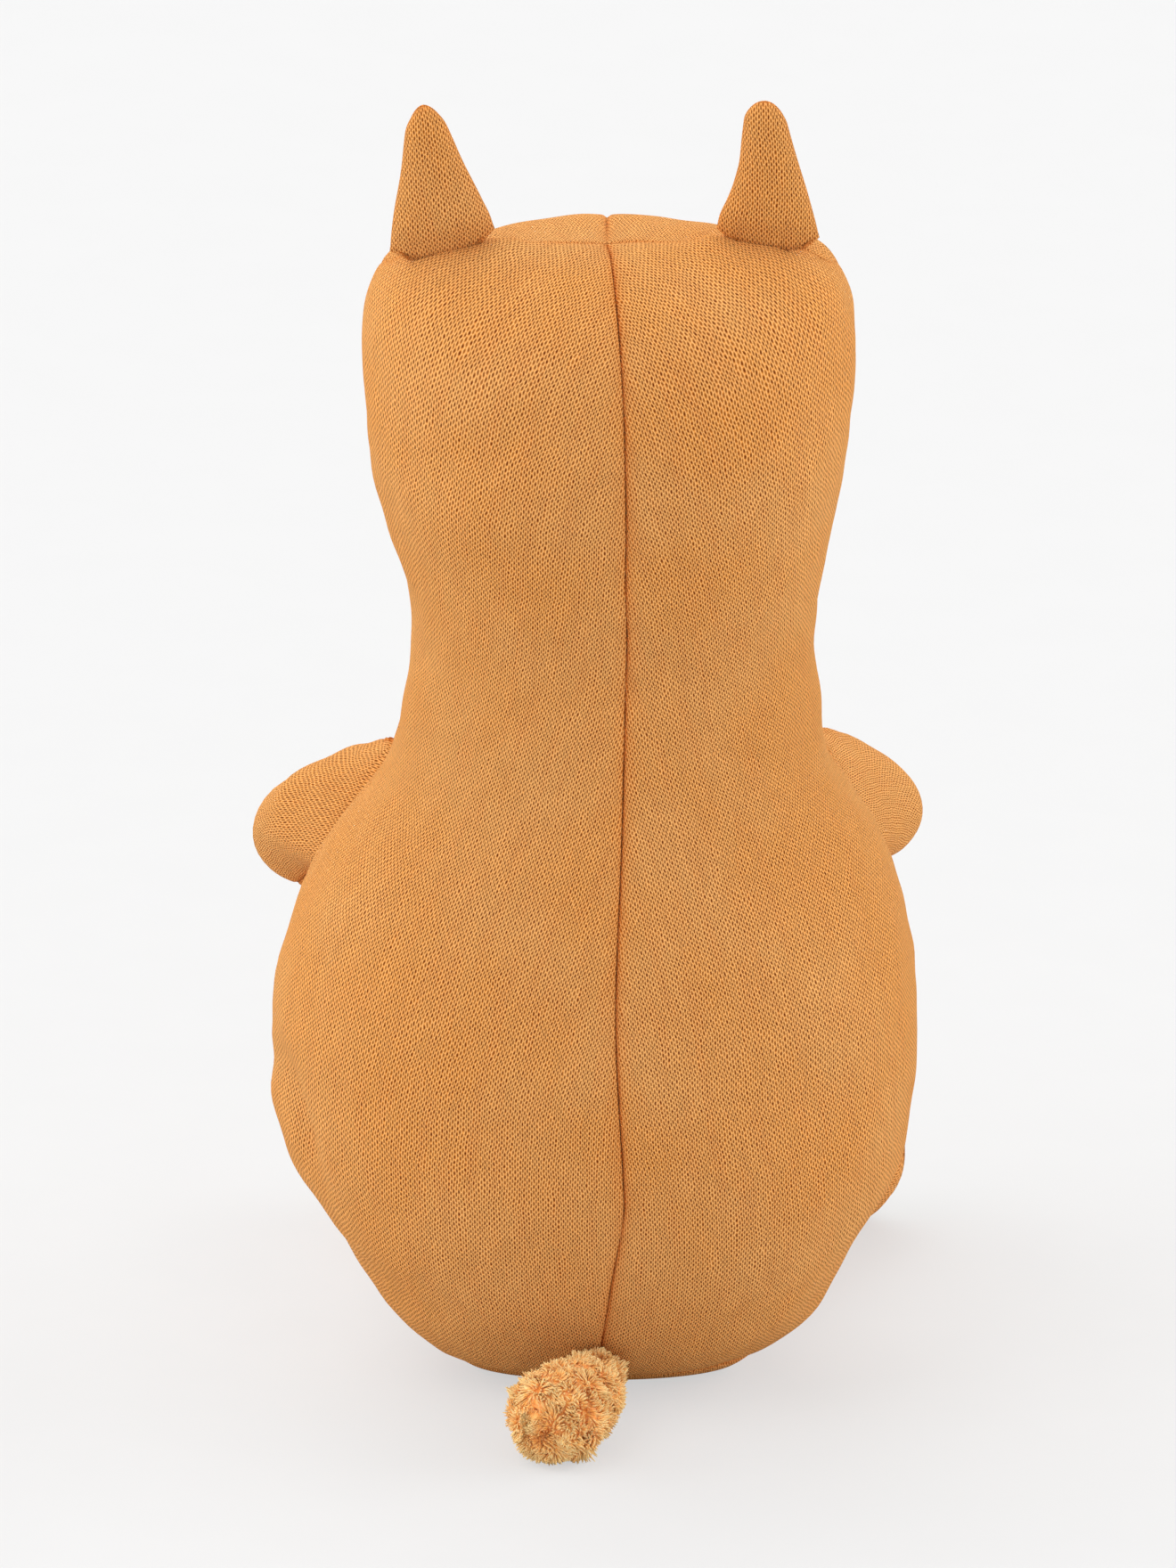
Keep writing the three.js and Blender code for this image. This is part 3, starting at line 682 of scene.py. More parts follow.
def half_panel(side, z_low, behind):
    """A panel from a side seam to the centre seam, up to the crown seam."""
    s = shares(125)
    z = z_low + (TEMPLE_Z - z_low) * shares(310 * (TEMPLE_Z - z_low) / (TEMPLE_Z - SEAT_SEAM_Z), 2.6)
    z = z[: np.searchsorted(z, TEMPLE_Z - 4)]
    z = np.concatenate([z, [TEMPLE_Z - 2.5, TEMPLE_Z]])
    lean = side_lean(z)
    if behind:
        centre = seam_angle(z)
        start = -lean if side > 0 else math.pi + lean
    else:
        centre = np.full(len(z), 1.5 * math.pi)
        start = 2 * math.pi - lean if side > 0 else math.pi + lean
    angle = start[:, None] + (centre - start)[:, None] * s[None]
    low = torso_point(z[:, None] + 0 * angle, angle)
    middle_x = back_seam_at(BACK_SEAM[-1][0]) - sway_at(TEMPLE_Z)
    top = crown_seam(crown_x(s, side, middle_x))
    t = shares(78, 2.4)[1:]
    t = np.concatenate([np.linspace(0, t[6], 4)[1:-1], t[6:]])
    toward = low[-1][None] * (1 - t[:, None, None]) + top[None] * t[:, None, None]
    forward = 11 * smoothstep(0, 0.45, t) * (1 - smoothstep(0.75, 1, t))
    toward[..., 1] -= forward[:, None] * (1 - smoothstep(0, 0.35, s))[None]
    return np.concatenate([low, cast(TEMPLE_MIDDLE, toward)])


def outward_of(grid, heart):
    """Outward normals of a grid round a heart line or point."""
    normal = normals_of(grid)
    flip = (normal * (grid - heart)).sum(-1).mean() < 0
    return -normal if flip else normal


def dressed(grid, outward):
    """Unevenness of the stuffing, and the pressed hollow above the left hip."""
    swell = 0.5 * lumps(grid, 34, 21) + 0.2 * lumps(grid, 13, 22)
    along = HOLLOW[1] - HOLLOW[0]
    reach = np.linalg.norm(along)
    seen = np.stack([grid[..., 0], view_height(grid)], -1) - HOLLOW[0]
    share = (seen @ along) / reach**2
    beside = (seen[..., 0] * along[1] - seen[..., 1] * along[0]) / reach
    held = smoothstep(-0.3, 0.2, share) * (1 - smoothstep(0.7, 1.4, share))
    held = held * smoothstep(-14, 0, grid[..., 1])
    fold = 1.5 * np.exp(-(((beside + 5.4) / 3.4) ** 2)) - 3.4 * np.exp(-((beside / 2.2) ** 2))
    return grid + outward * (swell + held * fold)[..., None]


def with_muzzle(grid):
    """Swells the front of the head into a muzzle."""
    heading = grid - MUZZLE_HEART
    own = np.linalg.norm(heading, axis=-1)
    heading = heading / own[..., None]
    p = (MUZZLE_HEART - MUZZLE_MIDDLE) / MUZZLE_HALF
    d = heading / MUZZLE_HALF
    a = (d * d).sum(-1)
    b = (d * p).sum(-1)
    c = (p * p).sum() - 1
    muzzle = (-b + np.sqrt(b * b - a * c)) / a
    blend = 5.0
    high = np.maximum(own, muzzle)
    reach = high + blend * np.log(np.exp((own - high) / blend) + np.exp((muzzle - high) / blend))
    rest = blend * np.log(1 + np.exp(-np.abs(own - muzzle) / blend))
    reach = reach - rest * smoothstep(0, 30, own - muzzle)
    return MUZZLE_HEART + heading * reach[..., None]


def brow(grid):
    """Lets the forehead fall away to the ears, before the crown seam."""
    x, y, z = grid[..., 0], grid[..., 1], grid[..., 2]
    fall = (0.8 + 0.12 * (np.sqrt(x * x + 16) - 4)) * (1 - smoothstep(34, 50, np.abs(x)))
    lowered = grid.copy()
    fall = fall * smoothstep(TEMPLE_Z + 10, CROWN_Z - 6, z) * smoothstep(0, 10, CROWN_SEAM_Y - y)
    lowered[..., 2] -= fall
    return lowered


surfaces = {}


def torso_panel(name, bare, grid, lean, low=(6, -1), high=(-6, -1), centre_held=None, crown_held=None):
    """One panel of the torso's cover. Bare is its grid on the torso's own form. The centre and the
    crown seam may hold it more or less than the other seams do. Painted shade darkens its seams'
    creases, at full strength only on the back."""
    outward = torso_outward(bare)
    moved = smoothstep(0.2, 2.0, np.linalg.norm(grid - bare, axis=-1))[..., None]
    outward = outward * (1 - moved) + outward_of(grid, np.array((0.0, 0.0, 150.0))) * moved
    outward /= np.linalg.norm(outward, axis=-1, keepdims=True)
    soft = dressed(grid, outward)
    edges = [grid[0], grid[-1], grid[:, 0], grid[:, -1]]
    flat = turned(lay_flat(grid, low, high), math.radians(lean))
    at_ears = smoothstep(24, 32, np.abs(grid[..., 0])) * smoothstep(296, 306, grid[..., 2])
    held = 1 - 0.7 * at_ears
    for line, share in ((grid[:, -1], centre_held), (grid[-1], crown_held)):
        if share is not None:
            beside = np.exp(-((from_edge(grid, thick_line(line)) / 5) ** 2)) * (1 - at_ears)
            held = held + (share - held) * beside
    soft, crease = sew(soft, outward, edges=edges, held=held)
    soft = swayed(soft)
    # Off the back panels the painted crease shade is weaker.
    if not name.startswith("back_panel"):
        crease = 0.6 * crease
    surfaces[name] = soft
    thing = shell(name + "_knit", [(soft, outward, flat, crease)], knit)
    belongs(thing, "torso", name)


for side, name, lean in ((1, "left", 11.0), (-1, "right", 12.0)):
    bare = half_panel(side, SEAT_SEAM_Z, True)
    centre_held = 0.5 if side > 0 else 1.25
    torso_panel("back_panel_" + name, bare, bare, lean, centre_held=centre_held, crown_held=1.05)
    bare = half_panel(side, THROAT_SEAM_Z, False)
    torso_panel("face_panel_" + name, bare, brow(with_muzzle(bare)), 0.0, crown_held=0.85)

belly_s = shares(300, 2.8)
belly_z = SEAT_SEAM_Z + (THROAT_SEAM_Z - SEAT_SEAM_Z) * shares(240, 2.8)
belly_lean = side_lean(belly_z)[:, None]
belly_angle = math.pi + belly_lean + (math.pi - 2 * belly_lean) * belly_s[None]
belly_grid = torso_point(belly_z[:, None] + 0 * belly_angle, belly_angle)
middle = len(belly_s) // 2
torso_panel("belly_panel", belly_grid, belly_grid, 0.0, (6, middle), (-6, middle))


def seat_grid():
    """The seat panel: rings from the seat seam in to the middle of the flat seat."""
    angle = np.linspace(0, 2 * math.pi, 145)
    rim = torso_size(np.array(SEAT_SEAM_Z))[0]
    widths = rim * (1 - shares(rim * 1.4, 2.4)[: -7])
    rings = []
    flat_half = torso_size(np.array(0.0))[0]
    for width in widths:
        if width > flat_half:
            low, high = 0.0, SEAT_SEAM_Z
            for _ in range(30):
                z = (low + high) / 2
                low, high = (z, high) if torso_size(np.array(z))[0] < width else (low, z)
            rings.append(torso_point(np.full(angle.shape, z), angle))
        else:
            rings.append(torso_point(np.zeros(angle.shape), angle) * (width / flat_half))
    rings.append(np.zeros((len(angle), 3)))
    return np.stack(rings)


seat = seat_grid()
seat_outward = outward_of(seat, np.array((0.0, 0.0, 60.0)))
seat_outward[-1] = (0, 0, -1)
seat_flat = seat[..., :2].copy()
seat_soft, seat_crease = sew(seat, seat_outward, edges=[seat[0]])
seat_soft = swayed(seat_soft)
seat_soft[..., 2] = np.maximum(seat_soft[..., 2], 0.0)
seat_piece = shell("seat_panel_knit", [(seat_soft, seat_outward, seat_flat, seat_crease)], knit)
belongs(seat_piece, "torso", "seat_panel")

# Fillings


def closed_rings(rings):
    """Points and faces of a closed form through rings, with a pole at each end."""
    rings = np.asarray(rings)
    rows, sides = rings.shape[:2]
    points = np.concatenate([rings.reshape(-1, 3), rings[:1].mean(1), rings[-1:].mean(1)])
    faces = []
    for i in range(rows - 1):
        for j in range(sides):
            k = (j + 1) % sides
            faces.append((i * sides + j, i * sides + k, (i + 1) * sides + k, (i + 1) * sides + j))
    first, last = rows * sides, rows * sides + 1
    for j in range(sides):
        k = (j + 1) % sides
        faces.append((first, k, j))
        top = (rows - 1) * sides
        faces.append((last, top + j, top + k))
    return points, faces


def add_form(name, rings, material, body, node, size=6.0, lump=0.5, seed=1):
    """A closed form through rings, made uneven by lumps of a size."""
    points, faces = closed_rings(rings)
    heart = points.mean(0)
    away = points - heart
    away /= np.maximum(np.linalg.norm(away, axis=1, keepdims=True), 1e-6)
    points = points + away * (lump * lumps(points, size, seed))[:, None]
    belongs(add_mesh(name, points, faces, material=material), body, node)


inset = STUFFING_INSET
seat_heights = inset + (HIP_Z - inset) * (1 - np.cos(np.linspace(0.05, math.pi / 2, 14)))
low_heights = np.concatenate([seat_heights, np.linspace(100, 206.6, 22)])
crown_heights = TEMPLE_Z + (CROWN_Z - inset - TEMPLE_Z) * np.sin(np.linspace(0.1, 1.5, 12)) ** 0.5
high_heights = np.concatenate([np.linspace(207.4, TEMPLE_Z, 16), crown_heights])
turns = np.linspace(0, 2 * math.pi, 73)[:-1]
for name, heights in (("body", low_heights), ("head", high_heights)):
    rings = swayed(np.stack([torso_point(np.full(turns.shape, z), turns, inset) for z in heights]))
    add_form(name + "_batting", rings, filling, "torso", name + "_filling", 16, 0.8)

# The pellet bag's middle and its half width, depth and height
BAG_Z = 19.5
BAG_HALF = np.array((42.78, 33.48, 12.0))
turns, rises = np.meshgrid(np.linspace(0, 2 * math.pi, 41)[:-1], np.linspace(-1.45, 1.45, 14))
bag_rings = np.stack([np.cos(rises) * np.cos(turns), np.cos(rises) * np.sin(turns), np.sin(rises)], -1)
bag_rings = bag_rings * BAG_HALF + (0, 0, BAG_Z)
add_form("pellet_sack", bag_rings, sacking, "torso", "pellet_bag", 9, 0.7)

# Limbs and ears


class Limb:
    """A stuffed form along a spine from a sewn root, in its own frame: X runs out along the
    spine, Z along the root's line and Y across."""

    def __init__(
        self, place, outward, line, length, bend, slant, root, stations, skew=0.0, inner=0, tuck=0.0
    ):
        line = np.array(line, float) / np.linalg.norm(line)
        self.place = np.array(place, float)
        across = np.cross(line, outward)
        self.across = across / np.linalg.norm(across)
        self.line = line
        self.out = np.cross(self.across, line)
        self.length, self.bend, self.slant, self.root = length, bend, slant, root
        self.skew, self.inner, self.tuck = skew, inner, tuck
        at, up, down, thick = zip(*stations)
        at = np.array(at) * length
        self.last = at[-1]
        self.up_at = smooth_curve(at, up, False)
        self.down_at = smooth_curve(at, down, False)
        self.thick_at = smooth_curve(at, thick, False)

    def local(self, at, angle, inset=0.0):
        """Points at distances along the spine and angles round it: 0 is +Y and 90 degrees +Z."""
        curve = math.radians(self.bend) / self.length
        turn = curve * np.maximum(at, 0)
        if self.bend:
            x = np.where(at > 0, np.sin(turn) / curve, at)
            z = (1 - np.cos(turn)) / curve
        else:
            x, z = at + 0 * turn, 0 * turn
        z = z + x * math.tan(math.radians(self.slant))
        tip = self.length - inset - self.last
        end = closing((at - self.last) / tip, 2)
        start = closing(-at / self.root, 2) * 0.5 + 0.5
        y_share, z_share = on_section(angle)
        wide = np.where(z_share > 0, self.down_at(at), self.up_at(at)) - inset
        y_share = y_share * (1 + self.skew * z_share) * np.where(y_share * self.inner > 0, 0.8, 1)
        z_off = z_share * wide * end * (1 - self.tuck * (1 - start))
        y_off = y_share * (self.thick_at(at) - inset) * start * end + self.inner * np.maximum(-at, 0)
        return np.stack([x - z_off * np.sin(turn), y_off, z + z_off * np.cos(turn)], -1)

    def world(self, local):
        return self.place + local @ np.stack([self.out, self.across, self.line])


def limb_half(limb, front, places, columns, wrap=0.0):
    """Half of a limb's cover, from one edge seam to the other. With a wrap the first half reaches
    round the edges by an angle."""
    s = shares(columns, 2.2)
    half = math.pi / 2 + (wrap if front else -wrap)
    angle = (0 if front else math.pi) + half * (2 * s - 1) * (1 if front else -1)
    at = np.asarray(places)[:, None] + 0 * s[None]
    local = limb.local(at, angle[None] + 0 * at)
    steps = np.linalg.norm(np.diff(local, axis=1), axis=-1)
    run = np.concatenate([np.zeros((len(places), 1)), np.cumsum(steps, axis=1)], axis=1)
    run = run - run[:, -1:] / 2
    return local, np.stack([run, at], -1)


def limb_cover(
    name, limb, places, material, body, node, seed, floor=None, halves=(True, False), lump=0.5, wrap=0.0
):
    """A limb's sewn cover, or one half of it. A floor is the height that nothing of it goes under."""
    heart = limb.world(limb.local(np.array(limb.length * 0.5), np.array(0.0)) * (1, 0, 1))
    patches = []
    for front in halves:
        local, flat = limb_half(limb, front, places, 44, wrap)
        grid = limb.world(local)
        outward = outward_of(grid, heart)
        outward[-1] = outward[-2].mean(0) / np.linalg.norm(outward[-2].mean(0))
        edges = [grid[:, 0], grid[:, -1]]
        soft = grid + outward * (lump * lumps(grid, 22, seed))[..., None]
        soft, crease = sew(soft, outward, edges=edges, depth=1.3, reach=1.4, pull=0.5)
        if floor is not None:
            soft[..., 2] = np.maximum(soft[..., 2], floor)
        patches.append((soft, outward, flat, crease))
    belongs(shell(name, patches, material, LIMB_KNIT), body, node)


def limb_filling(name, limb, body, node, floor=None):
    angle = np.linspace(0, 2 * math.pi, 33)[:-1]
    inset = LIMB_STUFFING_INSET
    tip = limb.last + (limb.length - 4 - limb.last) * np.sin(np.linspace(0.3, 1.45, 6))
    places = np.concatenate([np.linspace(3.5, limb.last, 12), tip])
    rings = np.stack([limb.world(limb.local(np.full(angle.shape, at), angle, inset)) for at in places])
    if floor is not None:
        rings[..., 2] = np.maximum(rings[..., 2], floor)
    add_form(name, rings, filling, body, node, 10, 0.4)


def joint(name):
    found = next(j for j in frame["joints"] if j["name"] == name)
    return np.array(found["pos_m"]) / MM, np.array(found["axis"])


def spine_places(limb, root_start, step=2.4):
    shaft = root_start + (limb.last - root_start) * np.linspace(0, 1, int(limb.last / step))
    tip = (limb.length - limb.last) * np.sin(np.linspace(0, math.pi / 2, 16)[1:])
    return np.concatenate([shaft, limb.last + tip])


# Heading, length, bend, slant and skew of each arm, and its widths up and down and its thickness.
# These are rounded results of a program's search for the arms' outline in the photograph.
LIMB_ROOT = 2.2  # how far a limb's rounded root runs in behind its seam
ARM_SHARES = (0, 0.1, 0.22, 0.43, 0.68)
ARMS = {
    "left": (
        (91, 56.9, 25.6, 25.7, 0.54),
        (23.4, 22.7, 20.8, 17.7, 15.4),
        (22.6, 22.7, 22.6, 22.3, 23.3),
        (3.0, 6.6, 10.6, 16.0, 16.2),
    ),
    "right": (
        (95.6, 56.1, 55.6, 13.1, 0.0),
        (23.0, 22.3, 20.7, 18.9, 15.2),
        (16.7, 18.5, 19.0, 19.1, 16.7),
        (3.0, 4.8, 7.1, 10.4, 14.6),
    ),
}
for side, name in ((1, "left"), (-1, "right")):
    (heading, length, bend, slant, skew), *sizes = ARMS[name]
    stations = tuple(zip(ARM_SHARES, *sizes))
    place, axis = joint(name + "_arm_swing")
    place = place + (float(sway_at(place[2])), 0, 0)
    outward = (side * math.cos(math.radians(heading)), -math.sin(math.radians(heading)), 0)
    arm = Limb(place, outward, axis * side, length, bend, slant, LIMB_ROOT, stations, skew, side)
    body = name + "_arm"
    limb_cover(body + "_knit", arm, spine_places(arm, -6.0), knit, body, body + "_cover", 50 + side)
    limb_filling(body + "_batting", arm, body, body + "_filling")

SPLAY = {"left": 8, "right": 23.7}
LEG_LENGTH = 94
SOLE_DEPTH = 12
LEG_STATIONS = ((0, 16, 3.0), (0.11, 18, 9), (0.3, 20, 18), (0.64, 20.5, 20), (0.81, 23, 22))
for side, name in ((1, "left"), (-1, "right")):
    place, axis = joint(name + "_leg_lift")
    splay = math.radians(SPLAY[name])
    outward = (side * math.sin(splay), -math.cos(splay), 0)
    stations = [(at, wide, wide, thick) for at, wide, thick in LEG_STATIONS]
    line = (math.cos(splay), side * math.sin(splay), 0)
    leg = Limb(place, outward, line, LEG_LENGTH, 0, 0, LIMB_ROOT, stations)
    body = name + "_leg"
    places = spine_places(leg, -1.8)
    sole_start = LEG_LENGTH - SOLE_DEPTH
    upper = np.append(places[places < sole_start - 1], sole_start)
    limb_cover(body + "_knit", leg, upper, knit_coarse_shaded, body, body + "_cover", 60 + side, 0.0)
    lower = np.insert(places[places > sole_start + 0.5], 0, sole_start)
    sole = name + "_foot_sole"
    limb_cover(name + "_sole_knit", leg, lower, lining_knit, body, sole, 64 + side, 0.0)
    limb_filling(body + "_batting", leg, body, body + "_filling", 3.5)

# Middle of each ear's base, how the base slopes, the ear's slant and length, its stations and its two
# widths there, fitted to the ears' outline in the photograph
EARS = {
    "left": (
        ((40.7, 10.0, 325.3), 12.4, 4.6, 39.2),
        (0, 0.12, 0.25, 0.49, 0.73, 0.82),
        (15.0, 13.9, 12.4, 9.6, 6.9, 6.0),
        (15.0, 14.2, 12.5, 9.6, 7.1, 6.1),
    ),
    "right": (
        ((-46.9, 10.0, 327.1), 5.5, -7.0, 37.8),
        (0, 0.12, 0.25, 0.49, 0.73, 0.84),
        (14.4, 13.4, 11.4, 8.5, 7.1, 6.5),
        (14.2, 13.2, 11.9, 9.6, 7.2, 6.2),
    ),
}
EAR_THICK = (2.4, 4.2, 4.4, 4.2, 3.8, 3.6)
for side, name in ((1, "left"), (-1, "right")):
    (place, slope, slant, length), *sizes = EARS[name]
    stations = tuple(zip(*sizes, EAR_THICK))
    slope = math.radians(slope)
    line = (-math.cos(slope), 0, side * math.sin(slope))
    outward = (side * math.sin(slope), 0, math.cos(slope))
    ear = Limb(place, outward, line, length, 0, slant, 2.0, stations, tuck=0.6)
    body = name + "_ear"
    places = spine_places(ear, -3.6, 1.6)
    for layer, is_back, seed in (("_back", True, 70), ("_lining", False, 74)):
        node = body + layer
        seed += side
        limb_cover(node + "_knit", ear, places, knit, body, node, seed, None, (is_back,), 0.25, 0.18)

# Tail

TAIL_START = math.radians(6)  # its heading at the root, away from straight back
TAIL_CURVE = math.radians(40) / 52
TAIL_END = 47.0
TAIL_CAP = 36.0  # where its rounded end begins
CAP_RUN = 10  # how far the rounded end runs, along its surface, for each radian
FOLD_STEP = 10.5  # from one turn of the winding fold to the next
STRANDS = 11000
tail_root, _ = joint("tail_swing")
tail_radius = smooth_curve((0, 8, 16, 27, 36), (5.2, 7.0, 8.6, 11.2, 12.0))


def tail_spine(at):
    """Middle and heading of the rolled tail at distances from its root."""
    turn = TAIL_START + TAIL_CURVE * np.maximum(at, 0)
    x = (math.cos(TAIL_START) - np.cos(turn)) / TAIL_CURVE
    y = np.where(at > 0, (np.sin(turn) - math.sin(TAIL_START)) / TAIL_CURVE, at)
    middle = np.stack([x + tail_root[0] - 1.6, y + tail_root[1], tail_root[2] + 0 * x], -1)
    heading = np.stack([np.sin(turn), np.cos(turn), 0 * turn], -1)
    return middle, heading


def tail_fold(at, angle):
    """How deep a point lies in the fold that winds round the roll and in to its end, 0 to 1."""
    quarter = np.arcsin(np.clip((at - TAIL_CAP) / (TAIL_END - TAIL_CAP), 0, 1))
    run = np.minimum(at, TAIL_CAP) + CAP_RUN * quarter
    unrolled = np.stack([run, 6 * np.cos(angle), 6 * np.sin(angle)], -1)
    turns = run / FOLD_STEP - angle / (2 * math.pi) + 0.25 * lumps(unrolled, 16, 91)
    off = (turns - np.round(turns)) * FOLD_STEP
    return np.exp(-((off / 1.5) ** 2))


def tail_surface(at, angle):
    end = closing((at - TAIL_CAP) / (TAIL_END - TAIL_CAP), 2)
    middle, heading = tail_spine(at)
    across = np.stack([heading[..., 1], -heading[..., 0], 0 * at], -1)
    radius = (tail_radius(at) - 3.0 * tail_fold(at, angle)) * end
    up = np.array((0.0, 0.0, 1.0))
    return middle + across * (radius * np.cos(angle))[..., None] + up * (radius * np.sin(angle))[..., None]


tail_tip = TAIL_CAP + (TAIL_END - TAIL_CAP) * np.sin(np.linspace(0, math.pi / 2, 16)[1:-1])
tail_at = np.concatenate([np.linspace(-3, TAIL_CAP, 40), tail_tip])
tail_angle = np.linspace(0, 2 * math.pi, 73)[:-1]
roll_rings = np.stack([tail_surface(np.full(tail_angle.shape, at), tail_angle) for at in tail_at])
roll_rings[..., 2] = np.maximum(roll_rings[..., 2], 1.5)
roll_points, roll_faces = closed_rings(roll_rings)

run = (TAIL_CAP + CAP_RUN * math.pi / 2) * rng.uniform(0, 1, STRANDS) ** 0.8
on_cap = TAIL_CAP + (TAIL_END - TAIL_CAP) * np.sin((run - TAIL_CAP) / CAP_RUN)
at = np.minimum(np.where(run < TAIL_CAP, run, on_cap), TAIL_END - 0.05)
angle = rng.uniform(0, 2 * math.pi, STRANDS)
middle, _ = tail_spine(at)
root = tail_surface(at, angle)
nudge = tail_surface(at + 0.04, angle) - tail_surface(at - 0.04, angle)
swing = tail_surface(at, angle + 0.02) - tail_surface(at, angle - 0.02)
grow = np.cross(nudge, swing)
grow /= np.maximum(np.linalg.norm(grow, axis=1, keepdims=True), 1e-6)
grow *= np.sign((grow * (root - middle)).sum(1, keepdims=True) + 1e-9)
swing /= np.maximum(np.linalg.norm(swing, axis=1, keepdims=True), 1e-6)
clump = np.stack([lumps(root, 6, seed) for seed in (81, 82, 83)], -1)
lean = grow + 0.25 * swing + 0.9 * clump + rng.normal(scale=0.3, size=(STRANDS, 3))
lean /= np.linalg.norm(lean, axis=1, keepdims=True)
long = rng.uniform(1.3, 2.3, STRANDS)[:, None]
side_way = np.cross(lean, rng.normal(size=(STRANDS, 3)))
side_way /= np.linalg.norm(side_way, axis=1, keepdims=True)
other_way = np.cross(lean, side_way)
strand_points = []
for share, width in ((0.0, 0.3), (0.6, 0.34), (1.0, 0.12)):
    centre = root + (lean * share + 0.5 * clump * share**2) * long
    for turn in (0, 2 * math.pi / 3, 4 * math.pi / 3):
        strand_points.append(centre + width * (side_way * math.cos(turn) + other_way * math.sin(turn)))
strand_points = np.stack(strand_points, 1)
strand_points[..., 2] = np.maximum(strand_points[..., 2], 0.2)
base = np.arange(STRANDS)[:, None, None] * 9
around = ((0, 1, 4, 3), (1, 2, 5, 4), (2, 0, 3, 5))
quads = np.array([np.array(quad) + 3 * level for level in range(2) for quad in around])
strand_faces = (base + quads).reshape(-1, 4)
# Painted shade: strands in the winding fold keep nearer the root colour.
tone = np.repeat(np.array((0.0, 0.6, 1.0)), 3)[None] * (1 - 0.75 * tail_fold(at, angle))[:, None]
strand_uv = np.stack([np.repeat(rng.uniform(0, 1, (STRANDS, 1)), 9, 1), tone], -1)

all_points = np.concatenate([strand_points.reshape(-1, 3), roll_points])
all_faces = strand_faces.tolist() + [tuple(i + STRANDS * 9 for i in face) for face in roll_faces]
cloth = np.concatenate([strand_uv.reshape(-1, 2), np.tile((0.5, 0.05), (len(roll_points), 1))])
tail = new_thing("tail_pile", all_points, all_faces, pile, cloth)
belongs(tail, "tail", "tail_fur")

tape_at = np.linspace(-1, 37, 20)
tape_middle, tape_heading = tail_spine(tape_at)
tape_side = np.stack([tape_heading[:, 1], -tape_heading[:, 0], 0 * tape_at], -1)
corners = [(c * 3.0, 1.2 * s) for c, s in zip(*on_section(np.linspace(0, 2 * math.pi, 17)[:-1]))]
tape_rings = np.stack([tape_middle + tape_side * wide + np.array((0, 0, high)) for wide, high in corners], 1)
add_form("tail_core_tape", tape_rings, sacking, "tail", "tail_tape", 5, 0.1)

# Face


def nearest_face():
    points, faces, start = [], [], 0
    for name in ("face_panel_left", "face_panel_right"):
        grid = surfaces[name]
        points.append(grid.reshape(-1, 3))
        faces.append(grid_faces(*grid.shape[:2]) + start)
        start += grid.shape[0] * grid.shape[1]
    return BVHTree.FromPolygons(np.concatenate(points).tolist(), np.concatenate(faces).tolist())


face_tree = nearest_face()


def on_face(x, z):
    """The face's surface before a place, and its outward normal."""
    place, normal, _, _ = face_tree.ray_cast(Vector((x, -200, z)), Vector((0, 1, 0)))
    normal = np.array(normal)
    return np.array(place), normal if normal[1] < 0 else -normal


def circles(axes, aside, sides):
    """Angles, and unit circles across axes that start square to a direction."""
    first = np.cross(axes, aside)
    first /= np.linalg.norm(first, axis=-1, keepdims=True)
    second = np.cross(axes, first)
    turns = np.linspace(0, 2 * math.pi, sides + 1)[:-1]
    spokes = np.cos(turns)[:, None] * first[..., None, :] + np.sin(turns)[:, None] * second[..., None, :]
    return turns, spokes


def turned_rings(profile, place, outward, sides):
    """Rings of a turned piece along its outward axis, from radii and heights."""
    axis = outward / np.linalg.norm(outward)
    _, circle = circles(axis, (0, 0, 1.0), sides)
    return np.stack([place + axis * h + r * circle for r, h in profile])


EYE_Z = 278.0
WASHER_SIDES = 36
WASHER = (
    (2.1, -4.0), (2.1, -2.8), (2.4, -2.6), (5.2, -2.6),
    (5.5, -2.8), (5.5, -3.8), (5.2, -4.0), (2.4, -4.0),
)
face_x = float(sway_at(EYE_Z))
for side, name in ((1, "left"), (-1, "right")):
    angle = math.radians(-58 if side > 0 else 238)
    spot = torso_point(np.array(EYE_Z), np.array(angle))
    spot, normal = on_face(spot[0] + face_x, EYE_Z)
    dome = [(5.2 * math.cos(q), 0.3 + 3.4 * math.sin(q)) for q in np.linspace(0, 1.5, 12)]
    profile = [(0.2, -6.5), (1.5, -6.5), (1.8, -6.2), (1.8, -0.3), (4.6, -0.2), (5.1, 0.0)] + dome
    points, faces = closed_rings(turned_rings(profile, spot, normal, 40))
    eye = add_mesh(name + "_eye_dome", points, faces, None, gloss)
    belongs(eye, "torso", name + "_eye")
    loops = turned_rings(WASHER, spot, normal, WASHER_SIDES)
    index = np.arange(len(WASHER) * WASHER_SIDES).reshape(len(WASHER), WASHER_SIDES)
    beside, above = np.roll(index, -1, 1), np.roll(index, -1, 0)
    faces = np.stack([index, beside, np.roll(above, -1, 1), above], -1).reshape(-1, 4)
    washer = add_mesh(name + "_washer_disc", loops.reshape(-1, 3), faces, None, nylon)
    belongs(washer, "torso", name + "_eye_washer")


